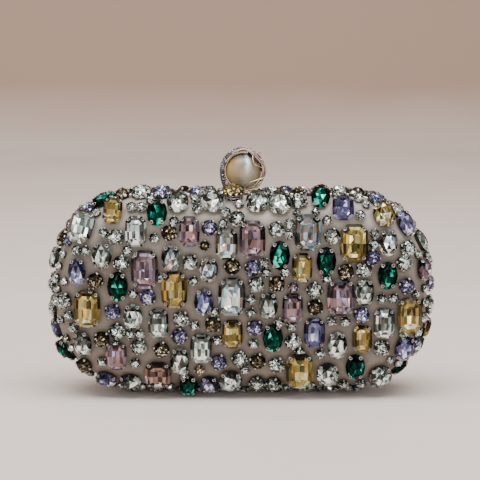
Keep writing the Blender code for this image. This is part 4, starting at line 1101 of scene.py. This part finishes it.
# The slot at the top that the knob's stem rocks in
notchSizes = {"play": crown / 3, "spare": crown, "footShare": 0.8}
notch = boxTool("notch", notchSizes["play"],
                (-notchSizes["spare"], centreHeight + halfHeight * notchSizes["footShare"]),
                (wallDepth, leverHigh.z + notchSizes["spare"]))


def makeDish(side, word, sizes, slot, finish, stones=()):
    dish = dishPiece(word + "Shape", side, sizes)
    if stones:
        pullDown(dish.data, stones)
    dish = carved(dish, wordOf[side] + word.title(), 40, (notch, "DIFFERENCE"))
    dressed(dish, wordOf[side] + "_half", slot, f"{wordOf[side]}_{word}", finish=finish)


# The metal frame at the seam: a flange, a strip inside the lining, and half of the hinge
frameSizes = {"proud": 0.0003, "flangeStart": 0.00025, "flangeEnd": 0.00125,
              "stripOffset": 0.00584, "stripInside": 0.00684, "stripDepth": 0.0085,
              "softEdge": 0.00022, "knuckles": 5, "knuckleGap": 0.0004, "knuckleFoot": 0.0001,
              "play": 0.0003, "boreShare": 1.1, "slotPlay": 0.0008, "slotBelow": 0.0013,
              "slotAbove": 0.00115, "rodSides": 28, "cornerSteps": 34, "longSteps": 20,
              "sideSteps": 3}


def hingeRods(name, spans, radius, grow=0.0):
    # Round bars along the hinge, as one tool for a cut or a join
    low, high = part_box("hinge_pin")
    shape = bmesh.new()
    for start, end in spans:
        place = ((start + end) / 2, 0, (low.z + high.z) / 2)
        bmesh.ops.create_cone(shape, cap_ends=True, segments=frameSizes["rodSides"],
                              radius1=radius, radius2=radius, depth=end - start + 2 * grow,
                              matrix=Matrix.Translation(place)
                              @ Matrix.Rotation(math.pi / 2, 4, "Y"))
    return meshPiece(name, shape, patternShelf)


def makeFrame(side):
    sizes, soft = frameSizes, frameSizes["softEdge"]
    outer, start, end = -sizes["proud"], sizes["flangeStart"], sizes["flangeEnd"]
    inner, deep = sizes["stripInside"], sizes["stripDepth"]
    section = ((outer + soft, start), (outer, start + soft), (outer, end - soft),
               (outer + soft, end), (sizes["stripOffset"], end), (sizes["stripOffset"], deep),
               (inner - soft, deep), (inner, deep - soft), (inner, start + soft),
               (inner - soft, start))
    shape = bmesh.new()
    loft(shape, [seamVerts(shape, side, [(x, depth, z) for x, z in roundOutline(inset, sizes)])
                 for inset, depth in section], closed=True)
    low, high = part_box("hinge_pin")
    pitch = (high.x - low.x + sizes["knuckleGap"]) / sizes["knuckles"]
    spans = [(low.x + index * pitch, low.x + (index + 1) * pitch - sizes["knuckleGap"])
             for index in range(sizes["knuckles"])]
    radius, play = (low.z + high.z) / 2 - sizes["knuckleFoot"], sizes["play"]
    bore = [(low.x * sizes["boreShare"], high.x * sizes["boreShare"])]
    tools = [(hingeRods("reliefs", spans[side == rear::2], radius + play, play), "DIFFERENCE"),
             (hingeRods("knuckles", spans[side == front::2], radius), "UNION"),
             (hingeRods("bore", bore, (high.z - low.z) / 2 + play), "DIFFERENCE"),
             (notch, "DIFFERENCE")]
    if side == front:   # the front strip is slotted for the hook's arm
        under = centreHeight + halfHeight - inner
        tools.append((boxTool("armSlot", sizes["slotPlay"],
                              (leverLow.y - sizes["slotPlay"], under - sizes["slotBelow"]),
                              (0, under + sizes["slotAbove"])), "DIFFERENCE"))
    ring = carved(meshPiece("frameShape", shape), wordOf[side] + "SeamFrame", 28, *tools)
    dressed(ring, wordOf[side] + "_half", "old_silver", wordOf[side] + "_frame", finish=silver)


# The slot that a tone's stones go in, where it isn't the clear crystal's
slotOf = {"gold": "gold_crystal", "brown": "gold_crystal", "olive": "gold_crystal",
          "pink": "pink_crystal", "green": "green_crystal"}
stoneChance = {"spread": 0.92, "seedStep": 7}


def dressHalf(side):
    word, stones = wordOf[side], listStones(side)
    stones += listFillers(stones, side)
    makeDish(side, "cover", coverSizes, "satin", satin, stones)
    makeDish(side, "lining", liningSizes, "lining_cloth", lining)
    makeFrame(side)
    for index, tone in enumerate(toneColours):
        # Stones that are nodes by themselves are replaced by the dressed stones of their tone
        seats = [stone for stone in stones if stone[3] == tone]
        nodes = [node for node in frame["nodes"] if node.startswith(f"{word}_{tone}_stone_")]
        if seats:
            piece = setStones(word + tone.title() + "Stones", seats, cutShelf, gems[tone],
                              stoneChance["spread"], index * stoneChance["seedStep"] + side)
            dressed(piece, word + "_half", slotOf.get(tone, "clear_crystal"), *nodes)
    dressed(setStones(word + "Settings", stones, settingShelf, claws), word + "_half",
            "old_silver")
    print(word, "half dressed with", len(stones), "stones")


for side in (front, rear):
    dressHalf(side)


def wirePiece(points, radius, cyclic=False, loose=False):
    # A wire through points: a closed ring, a polyline or a loose curve
    curve = bpy.data.curves.new("wire", "CURVE")
    curve.dimensions, curve.bevel_depth, curve.bevel_resolution = "3D", radius, 1
    curve.use_fill_caps = not cyclic
    spline = curve.splines.new("NURBS" if loose else "POLY")
    spline.points.add(len(points) - 1)
    spline.use_cyclic_u = cyclic
    if loose:
        spline.order_u, spline.resolution_u, spline.use_endpoint_u = 3, 6, True
    for place, point in zip(spline.points, points):
        place.co = (*point, 1)
    return plainMesh(addObject("wire", curve), "wire")


def joined(name, pieces):
    shape = bmesh.new()
    for piece in pieces:
        shape.from_mesh(piece.data)
        bpy.data.objects.remove(piece)
    whole = meshPiece(name, shape, closed=False)
    whole.data.shade_smooth()
    return whole


# The gilt stone on the shoulder, in a basket of wire
shoulder = {"xShift": -0.0036, "arc": 0.0098, "roll": 30, "lift": 0.0038, "wire": 0.00034,
            "posts": 12, "ringSides": 28, "cupSides": 24, "spread": 0.6, "seed": 5, "flat": 0.42,
            "cut": {"size": (0.0106, 0.0082), "mains": 10, "levels": (0.0, 0.0018, 0.0028),
                    "shares": (0.95, 0.62)},
            # Shares of the stone's size, and heights as shares of the lift
            "ringShares": ((0.8, 0.0), (0.84, 0.5), (0.91, 0.94)),
            "postShares": ((0.8, -0.5), (0.91, 1.0), (0.97, 1.22)),
            "cupShares": ((0.8, -0.6), (0.82, 0.0), (0.92, 0.9), (0.86, 0.92), (0.74, 0.0),
                          (0.7, -0.6))}


def makeShoulderStone():
    lift, size = shoulder["lift"], shoulder["cut"]["size"]
    seat = rimSeat(1 + shoulder["xShift"] / wayRound, shoulder["arc"],
                   math.radians(shoulder["roll"]), front)
    fancy = brilliantCut(shoulder["cut"])
    for vertex in fancy.verts:
        if vertex.co.z == 0 and vertex.co.xy.length < size[1] * shoulder["flat"]:
            vertex.co.z = -lift / 2
    bmesh.ops.translate(fancy, verts=fancy.verts, vec=(0, 0, lift))
    pattern = newCollection("shoulder pattern")
    cut = meshPiece("fancyCut", fancy, pattern)
    shadeFacets(cut.data, 1.0)
    stone = setStones("shoulderStone", [(seat, cutOrder[0], (1.0, 1.0, 1.0))], pattern,
                      gems["olive"], shoulder["spread"], shoulder["seed"])
    bpy.data.objects.remove(cut)
    bpy.data.collections.remove(pattern)
    dressed(stone, "front_half", "gold_crystal", "shoulder_stone")

    def loops(shares, count, offset=0.0):
        return [[seat @ Vector((x, y, height * lift)) for x, y in
                 ovalLoop(size, count, share, offset)] for share, height in shares]

    wires = [wirePiece(loop, shoulder["wire"], cyclic=True)
             for loop in loops(shoulder["ringShares"], shoulder["ringSides"])]
    wires += [wirePiece(points, shoulder["wire"])
              for points in zip(*loops(shoulder["postShares"], shoulder["posts"], 0.5))]
    dressed(joined("shoulderBasket", wires), "front_half", "old_silver", finish=silver)
    shape = bmesh.new()
    loft(shape, [[shape.verts.new(place) for place in loop]
                 for loop in loops(shoulder["cupShares"], shoulder["cupSides"])], closed=True)
    dressed(smooth(meshPiece("shoulderCup", shape), 35), "front_half", "old_silver",
            finish=darkSilver)


# Knob: pearl, twisted hoops with a beaded edge, crossing wires and a pave band
pearlLow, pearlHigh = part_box("pearl")
knob = {
    "centre": (pearlLow + pearlHigh) / 2 - Vector((0.0003, 0, 0.0018)),
    "pearlRadius": (pearlHigh.z - pearlLow.z) / 2, "pearlSteps": (64, 40),
    "hoopRadius": 0.0099, "hoopDepth": 0.0022, "twistRadius": 0.00046, "wire": 0.0004,
    "twists": 27, "hoopPoints": 216, "beads": 46, "beadRadius": 0.0004, "beadReach": 0.0092,
    "beadDepth": 0.003, "bandStart": 70, "bandEnd": 229, "bandSteps": 42, "bandWall": 0.0005,
    "bandFlare": 0.17, "bandTaper": 30, "bandTip": 0.45, "bandTipShift": 0.0012,
    "paveRows": 9, "paveColumns": 27, "paveSize": 0.00118, "paveDeep": 1.3, "paveSpread": 0.55,
    "paveStart": 0.3, "paveShift": 0.4, "paveSeed": 8, "facetSeed": 40,
    "paveTones": ("smoke",) * 6 + ("clear", "clear", "lilac", "pink"),
}
# The band's domed section as depth and radius, from its front edge to its rear edge
bandSection = ((-0.0038, 0.01), (-0.0034, 0.0104), (-0.0026, 0.0108), (-0.001, 0.0111),
               (0.0008, 0.0112), (0.0024, 0.0111), (0.0038, 0.0108), (0.0046, 0.0103))
# Wires from the front hoop to the rear hoop: the two angles and the wire's radius
wirePaths = ((66, 20, 0.00034), (60, 14, 0.00034), (26, 64, 0.0003), (20, 58, 0.0003),
             (-14, -48, 0.00034), (-40, -8, 0.0003), (-62, -98, 0.00034), (-104, -66, 0.0003),
             (232, 262, 0.0003))
# Wires laid over the front of the cage: the wire's radius, then radius, angle and depth
giltWires = (
    (0.0003, (0.0098, 64, -0.0046), (0.0062, 44, -0.0078), (0.0078, 22, -0.0066),
     (0.0106, 6, -0.0042)),
    (0.00026, (0.0104, -16, -0.0044), (0.0068, -38, -0.0074), (0.0056, -62, -0.0082),
     (0.0096, -98, -0.0046)),
    (0.0003, (0.0099, -28, -0.0044), (0.0108, -60, -0.005), (0.0106, -96, -0.005),
     (0.0098, -128, -0.0044)),
    (0.00026, (0.01, 150, -0.0046), (0.0104, 124, -0.0052), (0.0098, 98, -0.005),
     (0.0101, 74, -0.0046)),
    (0.00028, (0.01, 236, -0.0044), (0.0094, 262, -0.0058), (0.0098, 292, -0.0054),
     (0.0103, 318, -0.0042)),
    (0.00026, (0.0098, 40, -0.0044), (0.0101, 22, -0.0056), (0.0096, 0, -0.0054),
     (0.0101, -22, -0.0042)),
)
silverWires = (
    (0.00042, (0.0121, 88, -0.0044), (0.0112, 66, -0.0052), (0.0102, 44, -0.0056),
     (0.0105, 22, -0.0052), (0.0111, 4, -0.0044), (0.0104, -14, -0.0034)),
    (0.00038, (0.0113, 90, -0.0048), (0.0104, 66, -0.0056), (0.0094, 44, -0.006),
     (0.0098, 22, -0.0056), (0.0104, 2, -0.0048), (0.0099, -16, -0.0038)),
    (0.0005, (0.0106, 122, -0.005), (0.0109, 104, -0.0054), (0.0113, 86, -0.0052),
     (0.0106, 66, -0.0048)),
    (0.00034, (0.0102, 56, -0.003), (0.0114, 53, -0.0028), (0.0122, 50, -0.003),
     (0.0124, 46, -0.0026)),
)


def onKnob(radius, degrees, depth):
    angle = math.radians(degrees)
    return knob["centre"] + Vector((radius * math.cos(angle), depth, radius * math.sin(angle)))


def twistedHoop(depth, strand):
    points, twistRadius = [], knob["twistRadius"]
    for index in range(knob["hoopPoints"]):
        share = index / knob["hoopPoints"]
        twist = 2 * math.pi * (knob["twists"] * share + strand / 2)
        points.append(onKnob(knob["hoopRadius"] + twistRadius * math.cos(twist), 360 * share,
                             depth + twistRadius * math.sin(twist)))
    return wirePiece(points, knob["wire"], cyclic=True)


def crossWire(start, end, radius, steps=16):
    # From the front hoop to the rear hoop, on a ball round the pearl
    reach, points = math.hypot(knob["hoopRadius"], knob["hoopDepth"]), []
    for index in range(steps + 1):
        depth = knob["hoopDepth"] * (2 * index / steps - 1)
        points.append(onKnob(math.sqrt(reach ** 2 - depth ** 2),
                             start + (end - start) * index / steps, depth))
    return wirePiece(points, radius)


def looseWires(table):
    return [wirePiece([onKnob(*point) for point in points], radius, loose=True)
            for radius, *points in table]


def makeCage():
    hoops = [twistedHoop(depth, strand) for depth in (-knob["hoopDepth"], knob["hoopDepth"])
             for strand in (0, 1)]
    crossings = [crossWire(*path) for path in wirePaths]
    dressed(joined("wireCage", hoops + crossings + looseWires(giltWires)), "clasp", "gilt",
            "wire_cage", finish=gilt)
    dressed(joined("silverWires", looseWires(silverWires)), "clasp", "old_silver",
            finish=roseSilver)


def makeBeads():
    holder = meshPiece("beadHolder", bmesh.new(), patternShelf)
    beads = grown(holder, "hoopBeads", beadTree(), {
        "Count": knob["beads"], "Reach": knob["beadReach"], "Radius": knob["beadRadius"],
        "Centre": knob["centre"] + Vector((0, -knob["beadDepth"], 0)), "Finish": gilt})
    beads.data.shade_smooth()
    dressed(beads, "clasp", "gilt")


def ball(name, centre, radius, segments, rings):
    shape = bmesh.new()
    bmesh.ops.create_uvsphere(shape, u_segments=segments, v_segments=rings, radius=radius,
                              matrix=Matrix.Translation(centre))
    thing = meshPiece(name, shape)
    thing.data.shade_smooth()
    return thing


def bandPlace(share, degrees):
    # A point on the band's domed outside, and the direction out of it
    along = share * (len(bandSection) - 1)
    index = min(int(along), len(bandSection) - 2)
    first, second = (Vector(place) for place in bandSection[index:index + 2])
    depth, radius = first.lerp(second, along - index)
    taper = min(degrees - knob["bandStart"], knob["bandEnd"] - degrees) / knob["bandTaper"]
    taper = (knob["bandTip"] + (1 - knob["bandTip"])
             * math.sin(max(min(taper, 1), 0) * math.pi / 2))
    slope = (second - first).normalized()
    lower = max(degrees - 180, 0) / (knob["bandEnd"] - 180)   # the lower end stands off the hoops
    radius *= 1 + knob["bandFlare"] * lower ** 2
    angle = math.radians(degrees)
    out = Vector((slope.x * math.cos(angle), -slope.y, slope.x * math.sin(angle)))
    return onKnob(radius, degrees, depth * taper - knob["bandTipShift"] * (1 - taper)), out


def makeBand():
    # A domed band over the cage's shoulder, set with rows of small crystals
    shape, rings, last = bmesh.new(), [], len(bandSection) - 1
    span = knob["bandEnd"] - knob["bandStart"]
    for index in range(knob["bandSteps"] + 1):
        degrees = knob["bandStart"] + span * index / knob["bandSteps"]
        outside = [bandPlace(step / last, degrees) for step in range(last + 1)]
        places = [place for place, _ in outside]
        places += [place - out * knob["bandWall"] for place, out in reversed(outside)]
        rings.append([shape.verts.new(place) for place in places])
    loft(shape, rings, caps=True)
    dressed(smooth(meshPiece("bandPlate", shape), 40), "clasp", "old_silver", "crystal_band",
            finish=darkSilver)
    seats = {"smoke": [], "clear": [], "lilac": [], "pink": []}
    chance, size = random.Random(knob["paveSeed"]), knob["paveSize"] / cuts["small"]["size"][0]
    for row in range(knob["paveRows"]):
        for column in range(knob["paveColumns"]):
            share = ((column + knob["paveStart"] + knob["paveShift"] * (row % 2))
                     / knob["paveColumns"])
            place, out = bandPlace((row + 0.5) / knob["paveRows"], knob["bandStart"] + span * share)
            seat = standing(place - out * knob["bandWall"] / 2, upright(Vector((0, 1, 0)), out),
                            out)
            seats[chance.choice(knob["paveTones"])].append(
                (seat, "small", (size, size, size * knob["paveDeep"])))
    for index, tone in enumerate(seats):
        pave = setStones("pave" + tone.title(), seats[tone], cutShelf, gems[tone],
                         knob["paveSpread"], knob["facetSeed"] + index)
        dressed(pave, "clasp", "clear_crystal")


# Small stones wired between the hoops where the band leaves off: angle, tone and size share
crownStones = ((63, "blush", 1.0), (44, "pink", 0.9), (26, "gold", 0.8), (9, "pink", 0.7))
crownPlace = {"radius": 0.0089, "depth": -0.0022, "sideways": 0.6, "forwards": -0.8,
              "deep": 0.7, "spread": 0.8, "seed": 60}


def makeCrownStones():
    seats = {}
    for degrees, tone, size in crownStones:
        across, rise = math.cos(math.radians(degrees)), math.sin(math.radians(degrees))
        out = Vector((crownPlace["sideways"] * across, crownPlace["forwards"],
                      crownPlace["sideways"] * rise))
        place = onKnob(crownPlace["radius"], degrees, crownPlace["depth"])
        seat = standing(place, upright(Vector((-rise, 0, across)), out), out)
        seats.setdefault(tone, []).append((seat, "small", (size, size, crownPlace["deep"])))
    for index, tone in enumerate(seats):
        piece = setStones("crown" + tone.title(), seats[tone], cutShelf, gems[tone],
                          crownPlace["spread"], crownPlace["seed"] + index)
        dressed(piece, "clasp", slotOf.get(tone, "clear_crystal"))


makeShoulderStone()
dressed(ball("dressedPearl", knob["centre"], knob["pearlRadius"], *knob["pearlSteps"]), "clasp",
        "pearl", "pearl", finish=pearlFinish)
makeCage()
makeBeads()
makeBand()
makeCrownStones()
# A small pinkish bead wired on at the foot of the front hoop; lengths are in hoop beads
wireBead = {"angle": 216, "forwards": 3, "radius": 2.6, "steps": (16, 10)}
beadPlace = onKnob(knob["hoopRadius"], wireBead["angle"],
                   -knob["hoopDepth"] - knob["beadRadius"] * wireBead["forwards"])
dressed(ball("wireBead", beadPlace, knob["beadRadius"] * wireBead["radius"],
             *wireBead["steps"]), "clasp", "pink_crystal", finish=roseGlass)
print("knob dressed")

# The CAD nodes that stay get their finishes, and the round ones are shaded smooth
nodeFinishes = (
    (silver, ("hinge_pin", "catch", "catch_rivet_left", "catch_rivet_right", "clasp_bracket",
              "bracket_rivet_left", "bracket_rivet_right", "clasp_pin", "clasp_spring",
              "clasp_lever")),
    (gilt, ("knob_base", "knob_collar")), (board, ("front_shell", "rear_shell")),
)
roundNodes = ("clasp_spring", "knob_base", "knob_collar", "hinge_pin", "clasp_pin")
for finish, nodes in nodeFinishes:
    for node in nodes:
        thing = frame["nodes"][node]
        thing.data.materials.clear()
        thing.data.materials.append(finish)
        if node in roundNodes:
            smooth(thing, 40)
for shelf in (patternShelf, cutShelf, settingShelf):
    for thing in list(shelf.objects):
        bpy.data.objects.remove(thing)
    bpy.data.collections.remove(shelf)
print("finishes given")

# Floor and backdrop in one sweep: its width, and its depths and heights
stageSizes = {"width": 6.0, "front": -2.5, "bend": 1.4, "bendRadius": 0.9, "bendSteps": 12,
              "height": 3.0}
paint = {"stops": ((0.0, (0.92, 0.86, 0.825)), (0.12, (0.59, 0.425, 0.35))),
         "clouds": (3.0, 3), "cloudShare": 0.06}


def makeStage():
    bend, radius, half = stageSizes["bend"], stageSizes["bendRadius"], stageSizes["width"] / 2
    profile = [(stageSizes["front"], 0), (bend, 0)]
    for step in range(1, stageSizes["bendSteps"] + 1):
        angle = step / stageSizes["bendSteps"] * math.pi / 2
        profile.append((bend + radius * math.sin(angle), radius * (1 - math.cos(angle))))
    profile.append((bend + radius, stageSizes["height"]))
    shape = bmesh.new()
    rings = [[shape.verts.new((x, y, z)) for x in (-half, half)] for y, z in profile]
    for (left, right), (nextLeft, nextRight) in zip(rings, rings[1:]):
        shape.faces.new((left, right, nextRight, nextLeft))
    floor = meshPiece("paleFloor", shape, closed=False)
    floor.data.shade_smooth()
    material, tree, shader = newMaterial("palePaint", {"Roughness": 0.6, "IOR": 1.2})
    coords = objectCoords(tree)
    split = addNode(tree, "ShaderNodeSeparateXYZ", {0: coords})
    height = mathNode(tree, "MULTIPLY_ADD", noise(tree, coords, *paint["clouds"]),
                      paint["cloudShare"], split.outputs[2])
    setInputs(tree, shader, {"Base Color": ramp(tree, height, paint["stops"])})
    floor.data.materials.append(material)


studio = {"world": (0.92, 0.86, 0.82, 1), "strength": 0.36}
# Each softbox: its place, what it points at, its two sides, its power and its colour
clutch = (0, 0, centreHeight)
lamps = {
    "leftWindow": ((-1.35, -1.0, 0.85), clutch, (0.9, 0.9), 6.5, (1.0, 0.97, 0.94)),
    "rightWindow": ((1.5, -0.9, 0.55), clutch, (0.4, 1.0), 4.0, (0.9, 0.95, 1.0)),
    "overhead": ((0.0, -0.22, 1.2), clutch, (1.6, 0.7), 24.0, (1.0, 0.98, 0.95)),
    "lowFront": ((0.3, -1.9, 0.45), clutch, (1.4, 0.3), 8.0, (1.0, 0.98, 0.96)),
    "wallWash": ((-0.4, 1.0, 2.2), (-0.2, 2.3, 0.7), (2.5, 0.5), 17.0, (1.0, 0.86, 0.75)),
}


def makeLights():
    world = bpy.data.worlds.new("studio")
    world.use_nodes = True
    background = world.node_tree.nodes["Background"]
    setInputs(world.node_tree, background, {0: studio["world"], 1: studio["strength"]})
    bpy.context.scene.world = world
    for name, (place, target, size, power, colour) in lamps.items():
        light = bpy.data.lights.new(name, "AREA")
        light.shape, light.energy, light.color = "RECTANGLE", power, colour
        light.size, light.size_y = size
        lamp = addObject(name, light, bpy.context.scene.collection)
        lamp.location = place
        lamp.rotation_euler = (Vector(target) - Vector(place)).to_track_quat("-Z", "Y").to_euler()


# The photo is 480 px square; the view's own centre lies a little off the frame's
photo = {"width": 480, "focalPx": 1516.7, "centrePx": (241.0, 238.0), "distance": 0.7395,
         "height": 0.1773, "pitch": 7.77, "sensor": 36.0, "nearest": 0.01}


def makeCamera():
    lens = bpy.data.cameras.new("photoView")
    lens.sensor_width = photo["sensor"]
    lens.lens = photo["focalPx"] / photo["width"] * photo["sensor"]
    lens.shift_x = (photo["width"] / 2 - photo["centrePx"][0]) / photo["width"]
    lens.shift_y = (photo["centrePx"][1] - photo["width"] / 2) / photo["width"]
    lens.clip_start = photo["nearest"]
    camera = addObject("photoView", lens, bpy.context.scene.collection)
    camera.location = (0, -photo["distance"], photo["height"])
    camera.rotation_euler = (math.radians(90 - photo["pitch"]), 0, 0)
    bpy.context.scene.camera = camera


makeStage()
makeLights()
makeCamera()
print("stage, lights and camera set")
